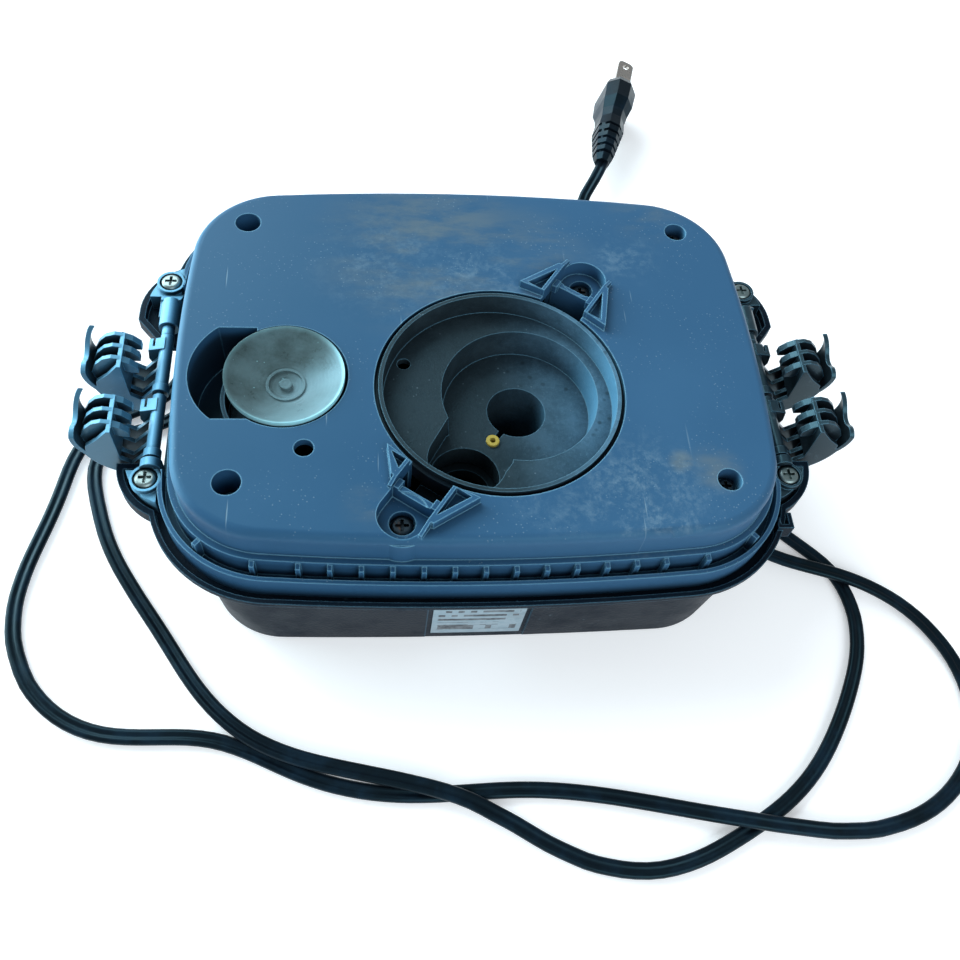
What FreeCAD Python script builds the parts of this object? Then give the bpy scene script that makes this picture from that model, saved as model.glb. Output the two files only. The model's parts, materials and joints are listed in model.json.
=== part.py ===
import FreeCAD, Part
import math
import os

# Motor head of a canister aquarium filter, upside down on its top cover.
# Millimetres. +Z is up and away from the cover, x runs along the head's long side, and the front is -y.
# The origin is the centre of the face the cover rests on.

# Levels above the resting face
COVER_FLOOR = 3.0
FLANGE_BOTTOM = 38.0
FLANGE_TOP = 39.6
COVER_RIM_TOP = 43.0
HOUSING_BOTTOM = 39.7
CHANNEL_UNDERSIDE = 41.5
CHANNEL_FLOOR = 43.5
LIP_TOP = 49.5
LEDGE = 53.0
PLATE_UNDERSIDE = 62.0
PLATE_TOP = 65.0

# Plan outline of the housing: a rectangle with bowed sides and round corners
HEAD_HALF_X = 100.5
HEAD_HALF_Y = 75.4
HEAD_BOW_X = 4.8
HEAD_BOW_Y = 5.8
HEAD_CORNER = 31.0
PLATE_EDGE_FILLET = 3.0
CORNER_RIB_TURN = 48.8

# Distances outward from that outline
LOWER_WALL = 2.2
RIB_REACH = 4.4
LIP_INSIDE = 5.9
LIP_OUTSIDE = 7.4
COVER_RIM_INSIDE = 10.2
COVER_RIM_OUTSIDE = 11.9
LIP_SIDE_PULL = 1.7
RIM_SIDE_PULL = 2.2
RIM_UNDERCUT = 1.6
HOUSING_WALL = 2.6
BAY_HALF = 39.5

# Ribs in the channel
RIB_PITCH = 9.75
RIB_COUNT = 13
END_RIB_X = 72.6
RIB_WIDTH = 1.6

# Cover
COVER_FOOT = (92.5, 81.0, 26.0)
COVER_SHOULDER = (95.0, 83.5, 28.0)
COVER_BOW = 2.2
COVER_WALL = 2.8
COVER_FOOT_FILLET = 4.0
WING_HALF_X = 120.0
WING_HALF_Y = 55.3
WING_CORNER = 22.5
WING_WALL = 2.3
BAY_FRONT = -33.2
BAY_REAR = 18.0
BAY_INSIDE = 104.6
BAY_SLOPE_X = 111.5
BAY_SLOPE = 1.24
BEYOND = 130.0
LABEL_HALF_WIDTH = 15.6
LABEL_PANEL_HALF_WIDTH = 17.4
LABEL_LEVELS = (7.0, 34.0)
LABEL_RECESS = 0.6

# Screws that hold the housing to the cover
CORNER_X = 80.0
CORNER_Y = (-53.8, 56.2)
LEFT_HOLE_RADIUS = 4.5
RIGHT_HOLE_RADIUS = 4.1
BOSS_RADIUS = 6.4
LEFT_SCREW_SEAT = 51.0
RIGHT_SCREW_SEAT = 58.4
HOUSING_SCREW_LENGTH = 25.0
SHANK_RADIUS = 1.6
SHANK_CLEARANCE = 0.08
VENT_HOLE = (-57.0, -41.3, 3.15)

# Well and pump chamber
WELL = (7.6, -17.1)
WELL_RADIUS = 42.4
CHAMBER_RIM_RADIUS = 41.0
CHAMBER_INNER_RADIUS = 39.6
CHAMBER_TOP = 65.3
SHELF = 56.5
VOLUTE_FLOOR = 45.0
BORE = (15.4, -13.7)
BORE_RADIUS = 10.4
BORE_BOTTOM = 9.0
VOLUTE_RADIUS = 27.2
OUTLET = (-4.3, -40.7)
OUTLET_RADIUS = 11.9
OUTLET_RECESS_RADIUS = 13.2
DUCT_TOP = 36.0
CHAMBER_WALL = 1.8
SHELF_VENT = (-24.5, -1.4, 2.3)
BUSH = (6.2, -26.1)
BUSH_RADIUS = 2.4

# Clip pockets, in distances from the well's centre along and across the clip's own axis
CLIP_ANGLES = (55.1, 235.1)
SLOT_REACH = (41.2, 50.6)
CROSSBAR_REACH = (50.6, 52.8)
POCKET_HALF_WIDTH = 8.1
POCKET_ROUND_CENTRE = 59.2
POCKET_FLOOR = 59.2
CLIP_SCREW_REACH = 59.2
CLIP_SCREW_SEAT = 55.4
CLIP_SCREW_HOLE = 4.2
FLANK_HEIGHT = 3.2
FLANK_WALL = 1.3
FLANK_START = 43.3
LONG_FLANK = (58.0, 63.0)
SHORT_FLANK = (50.5, 53.6)
TRIANGLE_FOOT = (42.0, 17.5)

# Intake recess and its valve
DISC = (-64.1, -12.7)
DISC_RADIUS = 19.8
DISC_RIM = 66.0
DISC_DEPTH = 7.5
DISC_THICKNESS = 1.5
RECESS_RADIUS = 20.9
RECESS_TOP_Y = 7.1
RECESS_BOTTOM_Y = -30.2
RECESS_STRAIGHT_X = (-86.9, -74.0)
RECESS_LEFT_X = -95.5
CUP_TOP = 53.0
SEAT_RADIUS = 12.5
SEAT_WALL = 1.5
SEAT_TOP = 59.5
STEM_RADIUS = 2.0
STEM_CLEARANCE = 0.05
VALVE_LIFT = 4.0

# Ducts and hose sockets
PIPE_RADIUS = 11.0
PIPE_WALL = 1.5
PIPE_LEVEL = 18.0
PIPE_SOCKET = (33.0, 41.3)
SOCKET_X = (-61.0, -24.0)
SOCKET_INNER_Y = 74.0
SOCKET_OUTER_Y = 94.0
SOCKET_BORE = 9.5

# Clamps and their brackets
PIVOT_X = 107.5
PIVOT_Z = 48.0
PIN_RADIUS = 1.2
PIN_CLEARANCE = 0.05
HUB_RADIUS = 2.3
CLAMP_SPAN = (-8.0, 6.8)
CLAMP_HUB_SPAN = (-10.8, 14.0)
CLAMP_CENTRES = {"rear": 2.2, "front": -23.8}
RIB_OFFSETS = (-7.25, -3.9, 1.1, 6.05)
CLAMP_RIB = 1.5
BRACKET_SCREW = (108.8, 42.1)
BRACKET_TOP = 46.5
BRACKET_RING = 5.0
BEARING_RADIUS = 3.5
BRACKET_REAR_PAD = 36.5
BRACKET_FRONT_PAD = -38.0
FRONT_BEARING = (-38.8, -35.7)
REAR_BEARING = (20.2, 32.0)

# Motor
CORE_LEVELS = (14.0, 32.0)
LEG_GAP = 12.6
LEG_WIDTH = 8.0
CORE_X = (11.5, 66.0)
COIL_X = (30.0, 54.0)
COIL_BUILD = 5.2

# Cord and plug
CORD_WIDTH = 5.4
CORD_THICKNESS = 2.7
CORD_LEVEL = 1.85
CORD_OVER = 4.9
CORD_EXIT_X = 8.0
CORD_EXIT_Z = 9.0
CORD_SPANS = 600
PLUG_START = (74.1, 153.0, 12.8)
PLUG_TURN = 15.2
PLUG_ROLL = 15.0
PLUG_LENGTH = 53.0
BLADE_LENGTH = 17.5
BLADE_SPACING = 12.7
BLADE_THICKNESS = 1.5
BLADE_WIDTHS = (6.35, 7.9)

LEVEL_TOLERANCE = 1e-4


def point(x, y, z=0.0):
    return FreeCAD.Vector(x, y, z)


def box(x, y, z):
    """A block between the pairs x, y and z."""
    size = (x[1] - x[0], y[1] - y[0], z[1] - z[0])
    return Part.makeBox(*size, point(x[0], y[0], z[0]))


def post(centre, radius, z):
    """An upright cylinder between the pair of levels z."""
    return Part.makeCylinder(radius, z[1] - z[0], point(centre[0], centre[1], z[0]))


def tube(centre, outer, inner, z):
    return post(centre, outer, z).cut(post(centre, inner, z))


def lying_cylinder(x, z, radius, y):
    """A cylinder along y between the pair y."""
    return Part.makeCylinder(radius, y[1] - y[0], point(x, y[0], z), point(0, 1, 0))


def prism(corners, z):
    """A straight-sided block over plan corners."""
    path = [point(x, y, z[0]) for x, y in corners]
    face = Part.Face(Part.makePolygon(path + path[:1]))
    return face.extrude(point(0, 0, z[1] - z[0]))


def level_edges(shape, level):
    """The edges that lie flat at one level."""
    found = []
    for edge in shape.Edges:
        limits = edge.BoundBox
        if abs(limits.ZMin - level) < LEVEL_TOLERANCE and abs(limits.ZMax - level) < LEVEL_TOLERANCE:
            found.append(edge)
    return found


def joined(shapes):
    return shapes[0].fuse(shapes[1:])


def solid_only(shape):
    """The one solid of a boolean result, with needless seams removed."""
    return shape.removeSplitter().Solids[0]


def bowed_wire(half_x, half_y, bow_x, bow_y, z):
    """Four arcs through the corners of a rectangle, each bulging outward."""
    corner_x = half_x - bow_x
    corner_y = half_y - bow_y
    corners = [(corner_x, corner_y), (-corner_x, corner_y), (-corner_x, -corner_y), (corner_x, -corner_y)]
    middles = [(0, half_y), (-half_x, 0), (0, -half_y), (half_x, 0)]
    arcs = []
    for i, middle in enumerate(middles):
        start = point(*corners[i], z)
        end = point(*corners[(i + 1) % 4], z)
        arcs.append(Part.Arc(start, point(*middle, z), end).toShape())
    return Part.Wire(arcs)


def round_corners(block, radius, z):
    """Rounds the four upright corner edges, which run over the pair of levels z."""
    upright = []
    for edge in block.Edges:
        limits = edge.BoundBox
        if abs(limits.ZMin - z[0]) < LEVEL_TOLERANCE and abs(limits.ZMax - z[1]) < LEVEL_TOLERANCE:
            upright.append(edge)
    return block.makeFillet(radius, upright)


def head_block(offset, z, side_pull=0.0):
    """The housing's plan outline as a block, grown by offset, but by side_pull less at its short sides."""
    half_x = HEAD_HALF_X + offset - side_pull
    outline = bowed_wire(half_x, HEAD_HALF_Y + offset, HEAD_BOW_X, HEAD_BOW_Y, z[0])
    block = Part.Face(outline).extrude(point(0, 0, z[1] - z[0]))
    return round_corners(block, HEAD_CORNER + offset, z)


def cover_block(inset, z):
    """The cover's tapering body, shrunk by inset."""
    wires = []
    for (half_x, half_y, _), level in ((COVER_FOOT, 0.0), (COVER_SHOULDER, FLANGE_TOP)):
        wires.append(bowed_wire(half_x - inset, half_y - inset, COVER_BOW, COVER_BOW, level))
    body = Part.makeLoft(wires, True, True)
    body = round_corners(body, COVER_FOOT[2] - inset, (0.0, FLANGE_TOP))
    return body.common(box((-130, 130), (-100, 100), z))


def wing_block(inset, z):
    """The wide band whose ends make the ears beside the clamps."""
    half_x = WING_HALF_X - inset
    half_y = WING_HALF_Y - inset
    block = box((-half_x, half_x), (-half_y, half_y), z)
    return round_corners(block, WING_CORNER - inset, z)


def mirrored(shape):
    """The same piece for the left side."""
    return shape.mirror(point(0, 0, 0), point(1, 0, 0))


def pan_screw(centre, seat, head_radius, head_height, tip):
    """A cross-head screw standing point down."""
    top = seat + head_height
    head = post(centre, head_radius, (seat, top))
    head = head.makeFillet(head_height * 0.55, level_edges(head, top))
    reach = head_radius * 0.58
    x, y = centre
    cross_levels = (top - head_height * 0.55, top + 1)
    along = box((x - reach, x + reach), (y - 0.5, y + 0.5), cross_levels)
    across = box((x - 0.5, x + 0.5), (y - reach, y + reach), cross_levels)
    return head.fuse(post(centre, SHANK_RADIUS, (tip, seat))).cut([along, across])


# ---- housing ----

def clip_placed(shape, angle):
    """Turns a shape drawn along +x from the well's centre to its clip angle."""
    placed = shape.copy()
    placed.rotate(point(0, 0, 0), point(0, 0, 1), angle)
    placed.translate(point(*WELL))
    return placed


def corner_holes():
    """(centre, radius, seat of the screw head) of the four screw holes."""
    holes = []
    for y in CORNER_Y:
        holes.append(((-CORNER_X, y), LEFT_HOLE_RADIUS, LEFT_SCREW_SEAT))
        holes.append(((CORNER_X, y), RIGHT_HOLE_RADIUS, RIGHT_SCREW_SEAT))
    return holes


def bracket_screw_spots():
    x, y = BRACKET_SCREW
    return [(-x, -y), (-x, y), (x, -y), (x, y)]


def channel_ribs():
    """Thin upright ribs on the wall, front and rear, and one more at the middle of each corner."""
    levels = (CHANNEL_FLOOR, LEDGE - 0.6)
    rib = (-RIB_WIDTH / 2, RIB_WIDTH / 2)
    xs = [(i - RIB_COUNT // 2) * RIB_PITCH for i in range(RIB_COUNT)] + [-END_RIB_X, END_RIB_X]
    bars = [box((x + rib[0], x + rib[1]), (-90, 90), levels) for x in xs]
    for turn in (CORNER_RIB_TURN, 180 - CORNER_RIB_TURN, 180 + CORNER_RIB_TURN, -CORNER_RIB_TURN):
        bar = box((0, 60), rib, levels)
        bar.rotate(point(0, 0, 0), point(0, 0, 1), turn)
        centre_x = math.copysign(HEAD_HALF_X - HEAD_CORNER, math.cos(math.radians(turn)))
        centre_y = math.copysign(HEAD_HALF_Y - HEAD_CORNER, math.sin(math.radians(turn)))
        bar.translate(point(centre_x, centre_y))
        bars.append(bar)
    return joined(bars).common(head_block(RIB_REACH, levels)).cut(head_block(LOWER_WALL - 1.0, levels))


def recess_block(grow, z):
    """The intake recess: a D-ended pocket that runs into a round one, grown on every side."""
    top = RECESS_TOP_Y + grow
    bottom = RECESS_BOTTOM_Y - grow
    left, right = RECESS_STRAIGHT_X
    left -= grow
    upper = point(left, top, z[0])
    lower = point(left, bottom, z[0])
    bulge = point(RECESS_LEFT_X - grow, (top + bottom) / 2, z[0])
    edges = [
        Part.Arc(upper, bulge, lower).toShape(),
        Part.makeLine(lower, point(right, bottom, z[0])),
        Part.makeLine(point(right, bottom, z[0]), point(right, top, z[0])),
        Part.makeLine(point(right, top, z[0]), upper),
    ]
    pocket = Part.Face(Part.Wire(edges)).extrude(point(0, 0, z[1] - z[0]))
    return pocket.fuse(post(DISC, RECESS_RADIUS + grow, z))


def pocket_block(grow, z):
    """A clip pocket along +x: straight sides and a round outer end."""
    half = POCKET_HALF_WIDTH + grow
    straight = box((CROSSBAR_REACH[1] - grow, POCKET_ROUND_CENTRE), (-half, half), z)
    return straight.fuse(post((POCKET_ROUND_CENTRE, 0), half, z))


def clip_frame(reach, tip, side):
    """On one side of a clip: a flank wall ending in a spike, and the hollow triangle that braces it."""
    top = PLATE_TOP + FLANK_HEIGHT
    levels = (PLATE_TOP - 0.5, top)
    start = FLANK_START
    near = side * POCKET_HALF_WIDTH
    far = side * (POCKET_HALF_WIDTH + FLANK_WALL)
    spike = [
        (start, levels[0]),
        (tip, levels[0]),
        (tip, PLATE_TOP + 1.4),
        (reach, top),
        (start, top),
    ]
    path = [point(x, near, z) for x, z in spike]
    wall = Part.Face(Part.makePolygon(path + path[:1])).extrude(point(0, far - near, 0))
    foot_x = TRIANGLE_FOOT[0]
    foot_y = side * TRIANGLE_FOOT[1]
    frame = prism([(foot_x, foot_y), (start, near), (reach, near), (reach, far + side * 0.9)], levels)
    hollow = prism([(foot_x + 1.4, foot_y - side * 2.6), (foot_x + 1.4, far), (reach - 3.0, far)], levels)
    return wall.fuse(frame.cut(hollow))


def clip(reaches):
    """One clip, drawn along +x: crossbar, hooks and flanks; reaches holds (frame, spike) for each side."""
    low, high = CROSSBAR_REACH
    half = POCKET_HALF_WIDTH
    shapes = [box((low, high), (-half, half), (POCKET_FLOOR - 4, PLATE_TOP - 0.4))]
    for side, (reach, tip) in zip((-1, 1), reaches):
        hook_y = sorted((side * (half - 0.2), side * (half - 2.2)))
        shapes.append(box((low - 1.4, high), hook_y, (PLATE_TOP - 2.4, PLATE_TOP + 0.8)))
        shapes.append(clip_frame(reach, tip, side))
    return joined(shapes)


def housing_shell():
    upper = head_block(0, (LEDGE, PLATE_TOP))
    upper = upper.makeFillet(PLATE_EDGE_FILLET, level_edges(upper, PLATE_TOP))
    lower = head_block(LOWER_WALL, (CHANNEL_UNDERSIDE, LEDGE))
    lip_levels = (HOUSING_BOTTOM, LIP_TOP)
    lip = head_block(LIP_OUTSIDE, lip_levels, LIP_SIDE_PULL)
    lip = lip.cut(head_block(LIP_INSIDE, lip_levels, LIP_SIDE_PULL))
    floor = head_block(LIP_OUTSIDE - 0.5, (CHANNEL_UNDERSIDE, CHANNEL_FLOOR), LIP_SIDE_PULL)
    outside = joined([upper, lower, lip, floor])
    cavity = head_block(-HOUSING_WALL, (CHANNEL_UNDERSIDE, PLATE_UNDERSIDE))
    cavity = cavity.fuse(head_block(LOWER_WALL - HOUSING_WALL, (CHANNEL_UNDERSIDE, LEDGE - HOUSING_WALL)))
    wall = head_block(LOWER_WALL, (CHANNEL_UNDERSIDE, LEDGE))
    bays = box((-BEYOND, BEYOND), (-BAY_HALF, BAY_HALF), (FLANGE_BOTTOM, LIP_TOP + 1)).cut(wall)
    relief_levels = (FLANGE_BOTTOM, LIP_TOP + 1)
    reliefs = [post(spot, BRACKET_RING + 0.3, relief_levels) for spot in bracket_screw_spots()]
    return outside.fuse(channel_ribs()).cut([cavity, bays] + reliefs)


def housing_supports():
    """Walls under the plate: the well collar, screw bosses, the recess and the clip pockets."""
    collar = tube(WELL, WELL_RADIUS + 2.0, WELL_RADIUS, (CHANNEL_UNDERSIDE + 8, PLATE_UNDERSIDE + 0.5))
    full_levels = (CHANNEL_UNDERSIDE, PLATE_UNDERSIDE + 0.5)
    bosses = [post(centre, BOSS_RADIUS, full_levels) for centre, _, _ in corner_holes()]
    recess = recess_block(2.0, full_levels)
    pockets = []
    for angle in CLIP_ANGLES:
        walls = pocket_block(2.0, (POCKET_FLOOR - 6.2, PLATE_UNDERSIDE + 0.5))
        pockets.append(clip_placed(walls, angle))
    return [collar, recess] + bosses + pockets


def housing_openings():
    cuts = [post(WELL, WELL_RADIUS, (HOUSING_BOTTOM, PLATE_TOP + 6))]
    for centre, radius, seat in corner_holes():
        cuts.append(post(centre, radius, (seat, PLATE_TOP + 1)))
        cuts.append(post(centre, SHANK_RADIUS + SHANK_CLEARANCE, (HOUSING_BOTTOM, seat)))
    x, y, radius = VENT_HOLE
    cuts.append(post((x, y), radius, (PLATE_UNDERSIDE - 1, PLATE_TOP + 1)))
    cuts.append(recess_block(0.0, (CHANNEL_FLOOR, PLATE_TOP + 1)))
    cuts.append(post(DISC, SEAT_RADIUS + SEAT_WALL + 0.1, (HOUSING_BOTTOM, CHANNEL_FLOOR)))
    for angle in CLIP_ANGLES:
        half = POCKET_HALF_WIDTH
        shapes = [
            pocket_block(0.0, (POCKET_FLOOR, PLATE_TOP + 1)),
            post((CLIP_SCREW_REACH, 0), CLIP_SCREW_HOLE, (CLIP_SCREW_SEAT, PLATE_TOP)),
            post((CLIP_SCREW_REACH, 0), SHANK_RADIUS + SHANK_CLEARANCE, (HOUSING_BOTTOM, CLIP_SCREW_SEAT)),
            box(SLOT_REACH, (-half, half), (HOUSING_BOTTOM, PLATE_TOP + 1)),
        ]
        cuts.append(clip_placed(joined(shapes), angle))
    return cuts


def plug_housing():
    body = housing_shell().fuse(housing_supports()).cut(housing_openings())
    cup = tube(DISC, RECESS_RADIUS + 1.5, RECESS_RADIUS, (CHANNEL_FLOOR - 0.5, CUP_TOP))
    cup = cup.common(recess_block(0.3, (CHANNEL_FLOOR - 0.5, CUP_TOP)))
    clips = [
        clip_placed(clip((LONG_FLANK, LONG_FLANK)), CLIP_ANGLES[0]),
        clip_placed(clip((SHORT_FLANK, LONG_FLANK)), CLIP_ANGLES[1]),
    ]
    inner_well = post(WELL, WELL_RADIUS, (HOUSING_BOTTOM, PLATE_TOP + 6))
    clips = [shape.cut(inner_well) for shape in clips]
    return solid_only(body.fuse([cup] + clips))


# ---- pump chamber ----

def spout_block(grow, z):
    """The recess from the volute to the outlet hole: a round end joined to it by two straight sides."""
    start_left = (BORE[0] - VOLUTE_RADIUS * 0.93 - grow, BORE[1] - VOLUTE_RADIUS * 0.37)
    end_left = (OUTLET[0] - OUTLET_RECESS_RADIUS * 0.9 - grow, OUTLET[1] + OUTLET_RECESS_RADIUS * 0.44)
    end_right = (
        OUTLET[0] + OUTLET_RECESS_RADIUS * 0.63 + grow * 0.8,
        OUTLET[1] - OUTLET_RECESS_RADIUS * 0.78,
    )
    start_right = (BORE[0] - VOLUTE_RADIUS * 0.17 + grow, BORE[1] - VOLUTE_RADIUS * 1.03)
    wedge = prism([start_left, end_left, OUTLET, end_right, start_right, BORE], z)
    return wedge.fuse(post(OUTLET, OUTLET_RECESS_RADIUS + grow, z))


def pump_chamber():
    rim = tube(WELL, CHAMBER_RIM_RADIUS, CHAMBER_INNER_RADIUS, (SHELF - 2.5, CHAMBER_TOP))
    shelf = post(WELL, CHAMBER_RIM_RADIUS, (SHELF - 2.5, SHELF))
    outside_levels = (VOLUTE_FLOOR - CHAMBER_WALL, SHELF)
    volute_out = post(BORE, VOLUTE_RADIUS + CHAMBER_WALL, outside_levels)
    inside_rim = post(WELL, CHAMBER_RIM_RADIUS, outside_levels)
    spout_out = spout_block(CHAMBER_WALL, outside_levels).common(inside_rim)
    well_out = post(BORE, BORE_RADIUS + CHAMBER_WALL, (BORE_BOTTOM - CHAMBER_WALL, VOLUTE_FLOOR))
    outlet_out = post(OUTLET, OUTLET_RADIUS + CHAMBER_WALL, (DUCT_TOP, VOLUTE_FLOOR))
    lugs = []
    for angle in CLIP_ANGLES:
        lug = box((CHAMBER_RIM_RADIUS - 1.5, CLIP_SCREW_REACH), (-5.0, 5.0), (50.0, 52.8))
        lug = lug.fuse(post((CLIP_SCREW_REACH, 0), 5.0, (46.0, 52.8)))
        root = (CHAMBER_RIM_RADIUS - 3.0, CHAMBER_RIM_RADIUS - 0.2)
        lug = lug.fuse(box(root, (-5.0, 5.0), (50.0, SHELF - 1.0)))
        lug = lug.cut(post((CLIP_SCREW_REACH, 0), SHANK_RADIUS + SHANK_CLEARANCE, (44.0, 54.0)))
        lugs.append(clip_placed(lug, angle))
    body = joined([rim, shelf, volute_out, spout_out, well_out, outlet_out] + lugs)

    open_levels = (VOLUTE_FLOOR, SHELF + 1)
    volute_depth = SHELF - VOLUTE_FLOOR
    cone = Part.makeCone(VOLUTE_RADIUS - 1.0, VOLUTE_RADIUS, volute_depth, point(*BORE, VOLUTE_FLOOR))
    vent_x, vent_y, vent_radius = SHELF_VENT
    neck_start = [(BUSH[0] - 0.7, BUSH[1]), (BUSH[0] + 0.7, BUSH[1] - 0.9)]
    neck = prism(neck_start + [(10.6, -22.4), (8.8, -21.4)], (40, 46))
    cuts = [
        cone,
        spout_block(0.0, open_levels).common(post(WELL, CHAMBER_INNER_RADIUS, open_levels)),
        post(BORE, BORE_RADIUS, (BORE_BOTTOM, VOLUTE_FLOOR + 1)),
        post(OUTLET, OUTLET_RADIUS, (DUCT_TOP - 1, VOLUTE_FLOOR + 1)),
        post((vent_x, vent_y), vent_radius, (SHELF - 3, SHELF + 1)),
        post(BUSH, BUSH_RADIUS + 0.05, (40, 46)),
        neck.cut(post(BORE, BORE_RADIUS - 0.5, (40, 46))),
    ]
    return solid_only(body.cut(cuts))


def chamber_seal():
    return tube(WELL, WELL_RADIUS - 0.05, CHAMBER_RIM_RADIUS + 0.05, (57.0, 63.0))


def chamber_bush():
    barrel = post(BUSH, BUSH_RADIUS, (VOLUTE_FLOOR - CHAMBER_WALL, VOLUTE_FLOOR + 1.0))
    barrel = barrel.makeFillet(0.4, level_edges(barrel, VOLUTE_FLOOR + 1.0))
    return barrel.cut(post(BUSH, 1.0, (40, 50)))


# ---- valve ----

def valve_disc():
    """A shallow dish with a raised ring and a boss, on a stem that ends in a retaining collar."""
    centre_z = DISC_RIM - DISC_DEPTH
    sphere = (DISC_RADIUS ** 2 + DISC_DEPTH ** 2) / (2 * DISC_DEPTH)

    def dish_point(radius, thickness):
        reach = sphere + thickness
        return point(radius, 0, centre_z + sphere - math.sqrt(reach ** 2 - radius ** 2))

    upper = Part.Arc(dish_point(0, 0), dish_point(DISC_RADIUS / 2, 0), dish_point(DISC_RADIUS, 0))
    under = Part.Arc(
        dish_point(DISC_RADIUS, DISC_THICKNESS),
        dish_point(DISC_RADIUS / 2, DISC_THICKNESS),
        dish_point(0, DISC_THICKNESS),
    )
    edge = Part.makeLine(dish_point(DISC_RADIUS, 0), dish_point(DISC_RADIUS, DISC_THICKNESS))
    axis = Part.makeLine(dish_point(0, DISC_THICKNESS), dish_point(0, 0))
    outline = Part.Wire([upper.toShape(), edge, under.toShape(), axis])
    dish = Part.Face(outline).revolve(point(0, 0, 0), point(0, 0, 1), 360)

    bottom = CHANNEL_UNDERSIDE
    hub_bottom = bottom + 1.6 + VALVE_LIFT
    ring = tube((0, 0), 6.6, 5.6, (centre_z, centre_z + 1.3))
    boss = post((0, 0), 2.1, (centre_z - 0.5, centre_z + 1.6))
    stem = post((0, 0), STEM_RADIUS, (bottom, centre_z))
    collar = post((0, 0), STEM_RADIUS + 0.9, (bottom, hub_bottom - VALVE_LIFT))
    disc = joined([dish, ring, boss, stem, collar])
    disc.translate(point(*DISC))
    return solid_only(disc)


def valve_seat():
    """A ring seat with a three-armed guide for the disc's stem."""
    wall = tube(DISC, SEAT_RADIUS + SEAT_WALL, SEAT_RADIUS, (DUCT_TOP, SEAT_TOP))
    flange = tube(DISC, RECESS_RADIUS - 1.2, SEAT_RADIUS + 0.5, (CHANNEL_FLOOR, CHANNEL_FLOOR + 1.4))
    hub_levels = (CHANNEL_UNDERSIDE + 1.6 + VALVE_LIFT, 55.0)
    hub = post(DISC, 4.2, hub_levels)
    arms = []
    for i in range(3):
        arm = box((0, SEAT_RADIUS + 0.5), (-0.8, 0.8), (hub_levels[0] + 1, hub_levels[1] - 1))
        arm.rotate(point(0, 0, 0), point(0, 0, 1), 90 + 120 * i)
        arm.translate(point(*DISC))
        arms.append(arm)
    body = joined([wall, flange, hub] + arms)
    return solid_only(body.cut(post(DISC, STEM_RADIUS + STEM_CLEARANCE, (40, 60))))


# ---- ducts ----

def duct_run(start, top, end, radius):
    """A solid run: down from the start, round a bend, then level to the end."""
    bend = PIPE_RADIUS + 1.5
    heading = point(end[0] - start[0], end[1] - start[1])
    heading.normalize()
    down_end = point(*start, PIPE_LEVEL + bend)
    bend_middle = point(*start, PIPE_LEVEL + bend) + heading * bend * (1 - math.cos(math.radians(45)))
    bend_middle.z -= bend * math.sin(math.radians(45))
    level_start = point(*start, PIPE_LEVEL) + heading * bend
    path = Part.Wire([
        Part.makeLine(point(*start, top), down_end),
        Part.Arc(down_end, bend_middle, level_start).toShape(),
        Part.makeLine(level_start, point(*end, PIPE_LEVEL)),
    ])
    ring = Part.Wire(Part.makeCircle(radius, point(*start, top), point(0, 0, 1)))
    return path.makePipeShell([ring], True, False)


def duct(start, socket_radius, end_x):
    """A pipe from an upright socket to the back of a hose socket."""
    end = (end_x, SOCKET_INNER_Y + 5)
    top = PIPE_SOCKET[0] + 1.5
    outside = duct_run(start, top, end, PIPE_RADIUS)
    outside = outside.fuse(post(start, socket_radius + PIPE_WALL, PIPE_SOCKET))
    inside = duct_run(start, top, end, PIPE_RADIUS - PIPE_WALL)
    inside = inside.fuse(post(start, socket_radius, (top, PIPE_SOCKET[1])))
    past_socket = box((-130, 130), (SOCKET_INNER_Y - 0.1, 120), (0, 60))
    return solid_only(outside.cut([inside, past_socket]))


def intake_pipe():
    return duct(DISC, SEAT_RADIUS + SEAT_WALL + 0.1, SOCKET_X[0])


def outlet_pipe():
    return duct(OUTLET, OUTLET_RADIUS + CHAMBER_WALL + 0.1, SOCKET_X[1])


def hose_sockets():
    """Two hose bores through the cover's rear wall, on one flange."""
    span = (SOCKET_INNER_Y, SOCKET_OUTER_Y)
    barrels = [lying_cylinder(x, PIPE_LEVEL, PIPE_RADIUS, span) for x in SOCKET_X]
    flange = box((SOCKET_X[0] - 14, SOCKET_X[1] + 14), (75.0, 87.0), (4.0, 32.0))
    flange = flange.cut(cover_block(-0.1, (0.0, FLANGE_TOP)))
    bores = [lying_cylinder(x, PIPE_LEVEL, SOCKET_BORE, span) for x in SOCKET_X]
    return solid_only(joined(barrels + [flange]).cut(bores))


# ---- motor ----

def stator_core():
    """A U-shaped stack of laminations whose legs stand either side of the impeller bore."""
    legs = []
    for side in (-1, 1):
        near = BORE[1] + side * LEG_GAP
        far = near + side * LEG_WIDTH
        legs.append(box(CORE_X, sorted((near, far)), CORE_LEVELS))
    reach = LEG_GAP + LEG_WIDTH
    yoke = box((CORE_X[1] - 10, CORE_X[1]), (BORE[1] - reach, BORE[1] + reach), CORE_LEVELS)
    return solid_only(joined(legs + [yoke]))


def stator_coils():
    coils = []
    for side in (-1, 1):
        leg = sorted((BORE[1] + side * LEG_GAP, BORE[1] + side * (LEG_GAP + LEG_WIDTH)))
        outer_y = (leg[0] - COIL_BUILD, leg[1] + COIL_BUILD)
        outer_z = (CORE_LEVELS[0] - COIL_BUILD, CORE_LEVELS[1] + COIL_BUILD)
        winding = box(COIL_X, outer_y, outer_z)
        winding = winding.makeFillet(2.0, [e for e in winding.Edges if abs(e.tangentAt(0).x) > 0.9])
        window_y = (leg[0] - 0.1, leg[1] + 0.1)
        window_z = (CORE_LEVELS[0] - 0.1, CORE_LEVELS[1] + 0.1)
        coils.append(winding.cut(box((COIL_X[0] - 1, COIL_X[1] + 1), window_y, window_z)))
    return Part.makeCompound(coils)


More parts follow.
